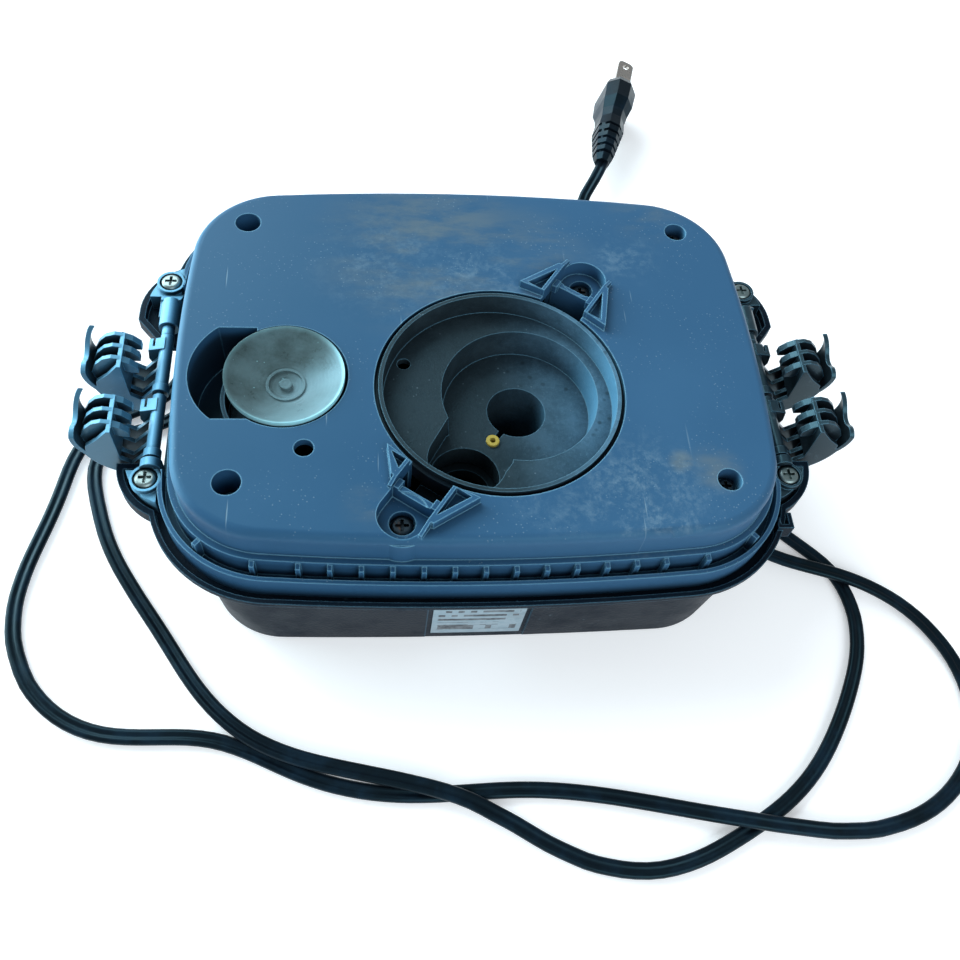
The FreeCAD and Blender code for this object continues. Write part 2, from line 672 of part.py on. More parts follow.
def motor_leads():
    """Two wires from the upper coil, under the ducts, to the cord's end."""
    leads = []
    for shift in (-1.4, 1.4):
        stops = [
            (44 + shift * 2, 13.4, 16),
            (40 + shift, 22, 7),
            (26, 40 + shift, 4.7),
            (CORD_EXIT_X + shift, 70, 6),
            (CORD_EXIT_X + shift, 77.5, CORD_EXIT_Z),
        ]
        curve = Part.BSplineCurve()
        curve.interpolate([point(*stop) for stop in stops])
        path = Part.Wire(curve.toShape())
        ring = Part.Wire(Part.makeCircle(1.0, point(*stops[0]), curve.tangent(curve.FirstParameter)[0]))
        leads.append(path.makePipeShell([ring], True, False))
    return Part.makeCompound(leads)


# ---- cover ----

def flange_block(inset_head, inset_wing, z):
    """The cover's widest outline: the housing's outline joined to the wing band."""
    head = head_block(COVER_RIM_OUTSIDE - inset_head, z, RIM_SIDE_PULL)
    return head.fuse(wing_block(inset_wing, z))


def bay_block(grow, z):
    """The opening the right-hand clamps swing in, grown by a wall: square in front, sloping at the rear."""
    front = BAY_FRONT - grow
    rear = BAY_REAR + grow
    slope_shift = grow * math.hypot(1, BAY_SLOPE)
    slope_foot = BAY_SLOPE_X + (grow - slope_shift) / BAY_SLOPE
    slope_end = BAY_REAR + slope_shift + (BEYOND - BAY_SLOPE_X) * BAY_SLOPE
    corners = [
        (BAY_INSIDE, front),
        (BEYOND, front),
        (BEYOND, slope_end),
        (slope_foot, rear),
        (BAY_INSIDE, rear),
    ]
    return prism(corners, z)


def clamp_bays():
    bay = bay_block(0.0, (20, 60))
    return [bay, mirrored(bay)]


def ear_end_walls():
    """The low walls that close each bay in front and behind."""
    levels = (FLANGE_BOTTOM, COVER_RIM_TOP)
    walls = bay_block(WING_WALL, levels).cut(bay_block(0.0, levels))
    walls = walls.common(wing_block(0.0, levels)).cut(box((0, BAY_INSIDE + 3), (-60, 60), levels))
    return [walls, mirrored(walls)]


def label_panel(half_width, depth, z, front):
    """A thin slab that follows the cover's front wall, from depth inside it to front outside it."""
    slab = box((-half_width, half_width), (-100, -60), z)
    return slab.common(cover_block(front, z)).cut(cover_block(depth, z))


def rating_label():
    return label_panel(LABEL_HALF_WIDTH, LABEL_RECESS, LABEL_LEVELS, 0.15).Solids[0]


def key_tab():
    """A slotted tab that stands on the rim at the front right corner, clear of the housing's lip."""
    levels = (FLANGE_BOTTOM, COVER_RIM_TOP + 1.5)
    tab = box((102.5, 108.0), (-61.0, -55.0), levels)
    slot = box((103.7, 106.5), (-59.5, -50.0), (FLANGE_TOP + 1.5, 50))
    return tab.cut([slot, head_block(LIP_OUTSIDE + 0.3, levels)])


def top_cover():
    body = cover_block(0.0, (0.0, FLANGE_TOP))
    body = body.makeFillet(COVER_FOOT_FILLET, level_edges(body, 0.0))
    rim_depth = COVER_RIM_OUTSIDE - COVER_RIM_INSIDE
    step = COVER_RIM_TOP - 2.0
    flange = flange_block(RIM_UNDERCUT, 0.0, (FLANGE_BOTTOM, step))
    top = flange_block(0.0, 0.0, (step, COVER_RIM_TOP))
    well_levels = (FLANGE_TOP, COVER_RIM_TOP)
    rim = flange.fuse(top).cut(flange_block(rim_depth, WING_WALL, well_levels))
    cavity = cover_block(COVER_WALL, (COVER_FLOOR, FLANGE_TOP))
    shell = joined([body, rim]).cut([cavity] + clamp_bays())
    post_levels = (COVER_FLOOR - 0.5, CHANNEL_UNDERSIDE - 0.1)
    posts = [post(centre, 5.0, post_levels) for centre, _, _ in corner_holes()]
    ear_posts = [post(spot, 4.0, (30.0, FLANGE_TOP)) for spot in bracket_screw_spots()]
    shell = shell.fuse(posts + ear_posts + ear_end_walls() + [key_tab()])

    cuts = [label_panel(LABEL_PANEL_HALF_WIDTH, LABEL_RECESS, (0.0, FLANGE_BOTTOM), -0.5)]
    for centre, _, _ in corner_holes():
        cuts.append(post(centre, SHANK_RADIUS + SHANK_CLEARANCE, (24.0, 45.0)))
    for spot in bracket_screw_spots():
        cuts.append(post(spot, SHANK_RADIUS + SHANK_CLEARANCE, (31.0, 45.0)))
    for x in SOCKET_X:
        cuts.append(lying_cylinder(x, PIPE_LEVEL, PIPE_RADIUS + 0.1, (70, 90)))
    cuts.append(lying_cylinder(CORD_EXIT_X, CORD_EXIT_Z, 3.6, (70, 90)))
    return solid_only(shell.cut(cuts))


# ---- brackets and clamps ----

def bracket_bearings():
    """The bored lugs that hold the hinge pin, with their webs down to the pads."""
    half = BEARING_RADIUS
    front = lying_cylinder(PIVOT_X, PIVOT_Z, half, FRONT_BEARING)
    front_web = box((PIVOT_X - half, PIVOT_X + half), FRONT_BEARING, (COVER_RIM_TOP + 0.2, PIVOT_Z))
    rear = lying_cylinder(PIVOT_X, PIVOT_Z, half, REAR_BEARING)
    rear_web = box((PIVOT_X - 2.8, PIVOT_X + 4.5), (27.0, 37.0), (FLANGE_TOP + 0.1, BRACKET_TOP))
    slope = [(30.0, BRACKET_TOP - 1.0), (31.5, PIVOT_Z + 2.6), (38.5, BRACKET_TOP - 1.0)]
    path = [point(PIVOT_X - half, y, z) for y, z in slope]
    gusset = Part.Face(Part.makePolygon(path + path[:1])).extrude(point(2 * half, 0, 0))
    return [front, front_web, rear, rear_web, gusset]


def bracket():
    """The right-hand bracket: a pad, a screw boss and a bearing in each ear, with a beam between them."""
    levels = (FLANGE_TOP + 0.1, BRACKET_TOP)
    ear = wing_block(WING_WALL + 1.2, levels)
    pads = []
    for span in ((-60, BRACKET_FRONT_PAD), (BRACKET_REAR_PAD, 60)):
        pads.append(box((BAY_INSIDE + 0.4, BEYOND), span, levels).common(ear))
    beam_levels = (FLANGE_TOP + 0.1, CHANNEL_FLOOR)
    beam_end = BAY_HALF - 0.2
    beam_x = BAY_INSIDE - 1.2
    beams = [box((beam_x, BAY_INSIDE - 0.1), (-beam_end, beam_end), beam_levels)]
    for span in ((-beam_end, BRACKET_FRONT_PAD - 0.2), (BRACKET_REAR_PAD + 0.2, beam_end)):
        beams.append(box((beam_x, BAY_INSIDE + 1.0), span, beam_levels))
    pin_hole = lying_cylinder(PIVOT_X, PIVOT_Z, PIN_RADIUS, (FRONT_BEARING[0] + 1.0, REAR_BEARING[1] - 4.0))
    rings = []
    cuts = [pin_hole]
    for y in (-BRACKET_SCREW[1], BRACKET_SCREW[1]):
        spot = (BRACKET_SCREW[0], y)
        rings.append(post(spot, BRACKET_RING, (BRACKET_TOP - 1, BRACKET_TOP + 1.8)))
        cuts.append(post(spot, BRACKET_RING - 0.9, (BRACKET_TOP, BRACKET_TOP + 3)))
        cuts.append(post(spot, SHANK_RADIUS + SHANK_CLEARANCE, (30, 50)))
    return solid_only(joined(pads + beams + bracket_bearings() + rings).cut(cuts))


def hinge_pin():
    """A plain pin with the sleeve that fills the space behind the rear clamp."""
    pin = lying_cylinder(PIVOT_X, PIVOT_Z, PIN_RADIUS, (FRONT_BEARING[0] + 1.2, REAR_BEARING[1] - 4.2))
    sleeve_start = CLAMP_CENTRES["rear"] + CLAMP_HUB_SPAN[1] + 0.2
    sleeve = lying_cylinder(PIVOT_X, PIVOT_Z, HUB_RADIUS - 0.1, (sleeve_start, REAR_BEARING[0] - 0.2))
    return pin.fuse(sleeve)


def swung(outline, y):
    """A block over an outline given as (outward, upward) distances from the pivot, between the pair y."""
    path = [point(PIVOT_X + u, y[0], PIVOT_Z + w) for u, w in outline]
    return Part.Face(Part.makePolygon(path + path[:1])).extrude(point(0, y[1] - y[0], 0))


def pivot_arc(start, middle, end):
    """An arc in the plane of the clamp's swing."""
    spots = [point(PIVOT_X + u, 0, PIVOT_Z + w) for u, w in (start, middle, end)]
    return Part.Arc(*spots).toShape()


def band(outer, inner, y):
    """A curved strip between two arcs, each given by three (outward, upward) spots."""
    outer_arc = pivot_arc(*outer)
    inner_arc = pivot_arc(*inner)
    caps = []
    for end in ("FirstParameter", "LastParameter"):
        spots = [arc.valueAt(getattr(arc, end)) for arc in (outer_arc, inner_arc)]
        caps.append(Part.makeLine(*spots))
    face = Part.Face(Part.Wire(Part.__sortEdges__([outer_arc, inner_arc] + caps)))
    strip = face.extrude(point(0, y[1] - y[0], 0))
    strip.translate(point(0, y[0], 0))
    return strip


def clamp_rib(offset, finger):
    """One upright rib: a rail from the hub to the wall and, past the wall, the fin that braces the grip."""
    y = (offset - CLAMP_RIB / 2, offset + CLAMP_RIB / 2)
    rail = [
        (-2.0, -0.8), (2.8, -13.0), (9.0, -14.0), (15.5, -9.6), (14.6, 1.5),
        (12.6, -3.6), (8.0, -7.4), (2.0, -0.8),
    ]
    parts = [swung(rail, y)]
    if finger:
        fin = [
            (11.6, 11.4), (14.6, 12.0), (17.6, 11.0), (20.4, 8.2), (22.4, 4.4),
            (21.4, -0.6), (18.0, -5.0), (13.0, -2.0),
        ]
        tip = [(6.8, 6.8), (9.0, 9.4), (12.4, 11.4), (12.4, 6.6), (9.6, 4.6), (6.8, 4.4)]
        parts += [swung(fin, y), swung(tip, (y[0] - 0.4, y[1] + 0.4))]
    return joined(parts)


def clamp_wall():
    """The cross wall that carries the fins."""
    return swung([(11.2, -4.0), (11.2, 11.4), (12.6, 11.4), (12.6, -4.0)], CLAMP_SPAN)


def clamp_grip():
    """The flared lip: a curved sheet whose edge rises to a rear peak and to a round bump in front."""
    front, rear = CLAMP_SPAN
    outer = ((22.0, -1.0), (24.7, 8.0), (21.8, 15.4))
    inner = ((20.4, -0.6), (23.1, 7.9), (20.5, 14.7))
    edge = Part.BSplineCurve()
    spots = [(rear, 15.0), (4.8, 11.6), (1.4, 8.1), (-2.2, 8.0), (-5.2, 9.8), (-7.2, 9.0), (front, 5.4)]
    edge.interpolate([point(PIVOT_X + 15, v, PIVOT_Z + w) for v, w in spots])
    first = point(PIVOT_X + 15, rear, PIVOT_Z - 4)
    last = point(PIVOT_X + 15, front, PIVOT_Z - 4)
    sides = [
        Part.makeLine(edge.EndPoint, last),
        Part.makeLine(last, first),
        Part.makeLine(first, edge.StartPoint),
    ]
    keep = Part.Face(Part.Wire([edge.toShape()] + sides)).extrude(point(15, 0, 0))
    return band(outer, inner, CLAMP_SPAN).common(keep)


def clamp_lug():
    """The slit lug beside the rear rib, with the brace that ties it to the hub."""
    rear = CLAMP_SPAN[1]
    lug = [(0, 2.8), (5.6, 1.6), (6.2, -3.0), (4.6, -8.0), (2.0, -10.0), (-1.0, -3.5)]
    brace = [(-2.0, -0.8), (2.8, -13.0), (7.0, -13.6), (2.0, -0.8)]
    slit = [(3.4, 4.0), (4.2, 4.0), (4.2, -1.0), (3.4, -1.0)]
    body = swung(lug, (rear + 0.2, rear + 5.2)).fuse(swung(brace, (rear - 1.5, rear + 2.6)))
    return body.cut(swung(slit, (rear + 1.8, rear + 5.4)))


def clamp():
    """A right-hand clamp, drawn about y = 0."""
    front, rear = CLAMP_SPAN
    outer = ((22.0, -1.0), (17.2, -9.2), (3.0, -15.2))
    inner = ((20.4, -0.6), (16.2, -8.0), (3.0, -13.7))
    skin = band(outer, inner, CLAMP_SPAN)
    cheek = [
        (-2.0, -0.8), (2.8, -13.4), (9.0, -14.0), (16.6, -9.2), (21.4, -1.4), (20.8, 3.0),
        (16.6, 6.6), (12.6, 11.2), (11.2, 11.2), (11.2, -4.6), (8.0, -7.4), (2.0, -0.8),
    ]
    ribs = [clamp_rib(offset, i > 0) for i, offset in enumerate(RIB_OFFSETS)]
    end_bar = swung([(12.0, -11.4), (16.4, -8.6), (14.8, 1.2), (12.8, -3.8)], CLAMP_SPAN)
    hub = lying_cylinder(PIVOT_X, PIVOT_Z, HUB_RADIUS, CLAMP_HUB_SPAN)
    collar = lying_cylinder(PIVOT_X, PIVOT_Z, HUB_RADIUS + 0.6, (CLAMP_HUB_SPAN[0], front + 0.2))
    pieces = [skin, swung(cheek, (front, front + CLAMP_RIB)), end_bar, clamp_wall(), clamp_grip()]
    body = joined(pieces + [hub, collar, clamp_lug()] + ribs)
    cuts = [lying_cylinder(PIVOT_X, PIVOT_Z, PIN_RADIUS + PIN_CLEARANCE, (-30, 30))]
    for low, high in zip(RIB_OFFSETS[:-1], RIB_OFFSETS[1:]):
        gap = (low + CLAMP_RIB / 2, high - CLAMP_RIB / 2)
        cuts.append(swung([(3.6, -4.0), (13.4, -4.0), (12.0, -16.0), (3.6, -16.0)], gap))
    return solid_only(body.cut(cuts))


def clamp_at(place, side):
    arm = clamp().translated(point(0, CLAMP_CENTRES[place], 0))
    return arm if side == "right" else mirrored(arm)


# ---- screws ----

def housing_screws():
    screws = []
    for centre, _, seat in corner_holes():
        screws.append(pan_screw(centre, seat, 3.2, 2.6, seat - HOUSING_SCREW_LENGTH))
    return Part.makeCompound(screws)


def bracket_screws():
    screws = [pan_screw(spot, BRACKET_TOP, 3.6, 2.4, 33.0) for spot in bracket_screw_spots()]
    return Part.makeCompound(screws)


def clip_screws():
    screws = []
    for angle in CLIP_ANGLES:
        x = WELL[0] + CLIP_SCREW_REACH * math.cos(math.radians(angle))
        y = WELL[1] + CLIP_SCREW_REACH * math.sin(math.radians(angle))
        screws.append(pan_screw((x, y), CLIP_SCREW_SEAT, 3.7, 2.6, 47.0))
    return Part.makeCompound(screws)


# ---- cord and plug ----

def cord_grommet():
    """A sleeve through the cover's rear wall with a tapering tail."""
    wall_part = lying_cylinder(CORD_EXIT_X, CORD_EXIT_Z, 3.5, (76.6, 85.0))
    inner_bead = lying_cylinder(CORD_EXIT_X, CORD_EXIT_Z, 4.4, (76.6, 78.1))
    outer_bead = lying_cylinder(CORD_EXIT_X, CORD_EXIT_Z, 4.8, (82.0, 85.0))
    tail = Part.makeCone(4.4, 3.4, 7.0, point(CORD_EXIT_X, 85.0, CORD_EXIT_Z), point(0, 1, 0))
    hole = lying_cylinder(CORD_EXIT_X, CORD_EXIT_Z, 2.85, (76, 95))
    return solid_only(joined([wall_part, inner_bead, outer_bead, tail]).cut(hole))


def cord_section(centre, heading):
    """The cord's flat section with round edges, square to its heading."""
    across = heading.cross(point(0, 0, 1)).normalize()
    up = point(0, 0, CORD_THICKNESS / 2)
    flat = across * ((CORD_WIDTH - CORD_THICKNESS) / 2)
    edge = across * (CORD_WIDTH / 2)
    top = (centre - flat + up, centre + flat + up)
    bottom = (centre + flat - up, centre - flat - up)
    right = Part.Arc(top[1], centre + edge, bottom[0]).toShape()
    left = Part.Arc(bottom[1], centre - edge, top[0]).toShape()
    return Part.Wire([Part.makeLine(*top), right, Part.makeLine(*bottom), left])


def power_cord():
    """A flat twin cord that leaves the cover, loops round the head twice and ends in the plug."""
    low = CORD_LEVEL
    over = CORD_OVER
    stops = [
        (CORD_EXIT_X, 79, CORD_EXIT_Z), (CORD_EXIT_X, 84, CORD_EXIT_Z), (CORD_EXIT_X, 88, CORD_EXIT_Z),
        (CORD_EXIT_X, 92, CORD_EXIT_Z - 0.3), (CORD_EXIT_X - 2.4, 98, CORD_EXIT_Z - 2),
        (CORD_EXIT_X - 9.5, 102.9, low + 3.2), (-14, 104, low + 1.2),
        (-24, 103, low + 0.3), (-50, 103, low), (-84, 99, low), (-100, 84, low),
        (-104, 60, low), (-104, 38, low), (-107, 22, low), (-116, 11, low), (-129, 6, low), (-138, -1, low),
        (-140, -10, low), (-137.3, -23.7, low), (-131.5, -40.4, low), (-108, -78, low),
        (-92, -101, 3.6), (-75, -116, over), (-40, -128, over), (-20, -133, over), (-3, -139, over),
        (25, -155, low), (56, -162, low), (86, -152, low), (109, -138, low), (133, -108, low),
        (144, -79, low), (140, -58, low), (125, -42, low), (109, -18, low), (106, 40, low),
        (97, 74, low), (70, 100, low), (20, 113, low), (-50, 113, low), (-90, 109, low),
        (-107.5, 92, low), (-111, 66, low), (-111, 45, low), (-112.5, 32, low), (-119, 22, low),
        (-130, 15.5, low), (-141, 8, low), (-147, -2, low), (-150.5, -19.3, low),
        (-154, -36, low), (-159, -60, low), (-153, -90, low), (-128, -111, low), (-88, -115, low),
        (-60, -127, low), (-27, -135, low), (14, -135, low), (72, -145, 4.0), (96, -150, over),
        (122, -153, low + 1), (158, -144, low), (178, -118, low), (172, -84, 3.4),
        (142, -61, over), (116, -51, 3.6), (101, -36, low), (98.5, 0, low), (98.5, 40, 3.8),
        (96, 76, over), (90, 96, over), (74, 117, low), (63, 132, low + 1.3), (66.4, 140, 7.0),
        (71.8, 147, 11.8), (PLUG_START[0] - 0.16, PLUG_START[1] - 0.58, PLUG_START[2]),
    ]
    curve = Part.BSplineCurve()
    curve.interpolate([point(*stop) for stop in stops])
    sweep = Part.BRepOffsetAPI.MakePipeShell(Part.Wire(curve.toShape()))
    sweep.setBiNormalMode(point(0, 0, 1))
    sweep.setMaxSegments(CORD_SPANS)
    sweep.add(cord_section(point(*stops[0]), curve.tangent(curve.FirstParameter)[0]))
    sweep.build()
    sweep.makeSolid()
    return sweep.shape()


def plug_placed(shape):
    """Moves a plug drawn along +y to where it lies on the table."""
    placed = shape.copy()
    placed.rotate(point(0, 0, 0), point(0, 1, 0), PLUG_ROLL)
    placed.rotate(point(0, 0, 0), point(0, 0, 1), -PLUG_TURN)
    placed.translate(point(*PLUG_START))
    return placed


def plug_section(width, height, y):
    half_w = width / 2
    half_h = height / 2
    cut = 0.3 * min(width, height)
    spots = [
        (half_w - cut, half_h), (-half_w + cut, half_h), (-half_w, half_h - cut), (-half_w, -half_h + cut),
        (-half_w + cut, -half_h), (half_w - cut, -half_h), (half_w, -half_h + cut), (half_w, half_h - cut),
    ]
    path = [point(a, y, b) for a, b in spots]
    return Part.makePolygon(path + path[:1])


def plug_body():
    """A moulded two-pin plug: ribbed strain relief, a waist, shoulders and a flat face."""
    sizes = [
        (6.6, 6.6, 0.0),
        (9.0, 10.0, 4.0),
        (13.0, 16.5, 21.0),
        (12.0, 15.5, 28.0),
        (13.0, 17.0, 33.0),
        (15.0, 23.0, 38.5),
        (15.6, 24.0, 49.0),
        (13.4, 21.0, PLUG_LENGTH),
    ]
    stages = []
    for first, second in zip(sizes[:-1], sizes[1:]):
        stages.append(Part.makeLoft([plug_section(*first), plug_section(*second)], True, True))
    grooves = []
    for i in range(5):
        y = 3.4 + 4.1 * i
        half_width = 3.0 + 0.62 * i
        half_height = 3.3 + 0.8 * i
        ring = box((-12, 12), (y, y + 1.5), (-14, 14))
        grooves.append(ring.cut(box((-half_width, half_width), (y, y + 1.5), (-half_height, half_height))))
    return plug_placed(solid_only(joined(stages).cut(grooves)))


def plug_blades():
    """Two flat blades, one wider than the other, each with a hole near its tip."""
    tip = PLUG_LENGTH + BLADE_LENGTH
    blades = []
    for side, width in zip((-1, 1), BLADE_WIDTHS):
        low = side * BLADE_SPACING / 2 - BLADE_THICKNESS / 2
        high = low + BLADE_THICKNESS
        blade = box((-width / 2, width / 2), (PLUG_LENGTH, tip), (low, high))
        tip_edges = [e for e in blade.Edges if abs(e.tangentAt(0).z) > 0.9 and e.BoundBox.YMin > tip - 1]
        blade = blade.makeFillet(width * 0.3, tip_edges)
        hole = Part.makeCylinder(1.6, BLADE_THICKNESS + 2, point(0, tip - 4.0, low - 1))
        blades.append(plug_placed(blade.cut(hole)))
    return Part.makeCompound(blades)


def all_parts():
    right_bracket = bracket()
    right_pin = hinge_pin()
    parts = {
        "plug_housing": plug_housing(),
        "pump_chamber": pump_chamber(),
        "chamber_seal": chamber_seal(),
        "chamber_bush": chamber_bush(),
        "valve_disc": valve_disc(),
        "valve_seat": valve_seat(),
        "intake_pipe": intake_pipe(),
        "outlet_pipe": outlet_pipe(),
        "hose_sockets": hose_sockets(),
        "stator_core": stator_core(),
        "stator_coils": stator_coils(),
        "motor_leads": motor_leads(),
        "top_cover": top_cover(),
        "rating_label": rating_label(),
        "bracket_right": right_bracket,
        "bracket_left": mirrored(right_bracket),
        "hinge_pin_right": right_pin,
        "hinge_pin_left": mirrored(right_pin),
        "housing_screws": housing_screws(),
        "bracket_screws": bracket_screws(),
        "clip_screws": clip_screws(),
        "cord_grommet": cord_grommet(),
        "power_cord": power_cord(),
        "plug_body": plug_body(),
        "plug_blades": plug_blades(),
    }
    for place in CLAMP_CENTRES:
        for side in ("left", "right"):
            parts[f"clamp_{side}_{place}"] = clamp_at(place, side)
    return parts


os.makedirs("parts", exist_ok=True)
for name, shape in all_parts().items():
    shape.exportStep(f"parts/{name}.step")
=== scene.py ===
import heapq
import json
import math

import bmesh
import bpy
from mathutils import Matrix, Vector


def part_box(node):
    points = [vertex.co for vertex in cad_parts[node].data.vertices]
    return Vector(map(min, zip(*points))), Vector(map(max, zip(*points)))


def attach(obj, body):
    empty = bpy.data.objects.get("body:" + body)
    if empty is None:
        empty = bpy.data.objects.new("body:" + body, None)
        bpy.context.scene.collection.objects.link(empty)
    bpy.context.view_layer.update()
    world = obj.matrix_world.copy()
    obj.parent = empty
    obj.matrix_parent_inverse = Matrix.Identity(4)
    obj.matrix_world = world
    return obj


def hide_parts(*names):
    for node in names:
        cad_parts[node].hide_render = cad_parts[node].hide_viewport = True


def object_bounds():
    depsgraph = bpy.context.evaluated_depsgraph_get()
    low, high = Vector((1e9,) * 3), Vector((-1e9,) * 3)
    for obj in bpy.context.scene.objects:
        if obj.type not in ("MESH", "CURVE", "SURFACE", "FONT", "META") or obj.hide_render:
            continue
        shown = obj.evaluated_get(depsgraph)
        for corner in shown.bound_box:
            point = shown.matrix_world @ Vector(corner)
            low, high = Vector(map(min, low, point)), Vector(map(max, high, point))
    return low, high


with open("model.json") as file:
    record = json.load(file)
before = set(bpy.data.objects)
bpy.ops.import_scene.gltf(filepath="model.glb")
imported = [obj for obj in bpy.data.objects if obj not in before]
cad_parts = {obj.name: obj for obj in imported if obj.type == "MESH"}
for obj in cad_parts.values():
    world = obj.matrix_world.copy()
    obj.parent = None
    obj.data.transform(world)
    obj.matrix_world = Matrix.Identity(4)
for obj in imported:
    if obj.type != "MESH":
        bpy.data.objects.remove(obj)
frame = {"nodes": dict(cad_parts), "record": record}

CAD_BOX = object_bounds()
MM = 0.001

# The camera stands in front of the head, a little to its left, and looks down on it
CAMERA_PLACE = Vector((-34.99, -208.44, 326.01)) * MM
CAMERA_FORWARD = Vector((0.1090, 0.5075, -0.8547))
CAMERA_RIGHT = Vector((0.99403, -0.06034, 0.09093))
CAMERA_LENS = 36.29
SENSOR_WIDTH = 36.0

# Colours, linear
SLATE = (0.034, 0.099, 0.190)
SLATE_DEEP = (0.018, 0.066, 0.138)
LIMESCALE = (0.21, 0.31, 0.37)
SILT = (0.150, 0.165, 0.140)
CHAMBER = (0.100, 0.215, 0.320)
CHAMBER_DEEP = (0.034, 0.080, 0.120)
SLUDGE_AND_SHADOW = (0.024, 0.038, 0.047)
SLUDGE_AND_SHADOW_DEEP = (0.010, 0.017, 0.022)
# Pale blues painted in as highlights on edges and as window light on faces turned to it
PAINTED_LIGHT_BLUE = (0.11, 0.33, 0.52)
PAINTED_EDGE_HIGHLIGHT = (0.34, 0.64, 0.78)
NEAR_BLACK = (0.005, 0.007, 0.010)
COVER_DARK = (0.004, 0.009, 0.017)
COVER_DUST = (0.016, 0.019, 0.026)
# One clamp plastic in two copies: the left clamps painted lit, the right clamps painted in shade
CLAMP_LEFT_LIT_FACE = (0.190, 0.500, 0.740)
CLAMP_LEFT_SHADED_FACE = (0.026, 0.080, 0.130)
CLAMP_RIGHT_LIT_FACE = (0.021, 0.040, 0.052)
CLAMP_RIGHT_SHADED_FACE = (0.009, 0.018, 0.026)
DISC_GREEN = (0.038, 0.058, 0.058)
DISC_PALE = (0.220, 0.370, 0.420)
DISC_EDGE = (0.36, 0.72, 0.80)
OLIVE = (0.42, 0.33, 0.06)
STEEL = (0.22, 0.29, 0.29)
DULL_STEEL = (0.030, 0.046, 0.058)
BLADE = (0.50, 0.46, 0.42)
SHEET_STEEL = (0.20, 0.21, 0.23)
RUST = (0.16, 0.075, 0.030)
COPPER = (0.40, 0.12, 0.04)
CORD_BLACK = (0.003, 0.005, 0.008)
CORD_SHEEN = (0.006, 0.017, 0.034)
PAPER = (0.23, 0.33, 0.39)
INK = (0.010, 0.014, 0.020)
COOL_SHEEN = (0.35, 0.80, 1.0)

# Direction from the head to the window, towards which faces and edges get painted window light in several materials
WINDOW_SIDE = (-0.86, 0.46, 0.22)

# Dried stains on the wet face, in millimetres: x, y, full reach, faded reach, strength
CHALK_STAINS = (
    (50, -62, 5, 34, 0.85),
    (22, -60, 4, 20, 0.45),
    (58, 42, 4, 17, 0.60),
    (2, 29, 4, 28, 0.60),
    (-30, 36, 6, 34, 0.45),
)
SILT_STAINS = (
    (65, -47, 1.5, 6, 0.95),
    (76, -50, 2, 12, 0.75),
    (-14, 46, 12, 50, 0.80),
    (18, 42, 6, 34, 0.60),
    (70, 66, 3, 20, 0.55),
    (-36, -62, 2, 12, 0.35),
)
WET_FACE = next(mount["pos_m"][2] for mount in frame["record"]["mounts"] if mount["name"] == "wet_face")

# The cord's section is two round cores joined by a web, as wide and thick as its solid
CORD_WIDTH = 5.4 * MM
CORD_THICKNESS = 2.7 * MM
CORD_STEP = 4 * MM
FULL_SLICE = 0.9
CORD_BURIED = 2 * MM
LOBE_TURN = math.radians(140)
LOBE_STEPS = 11


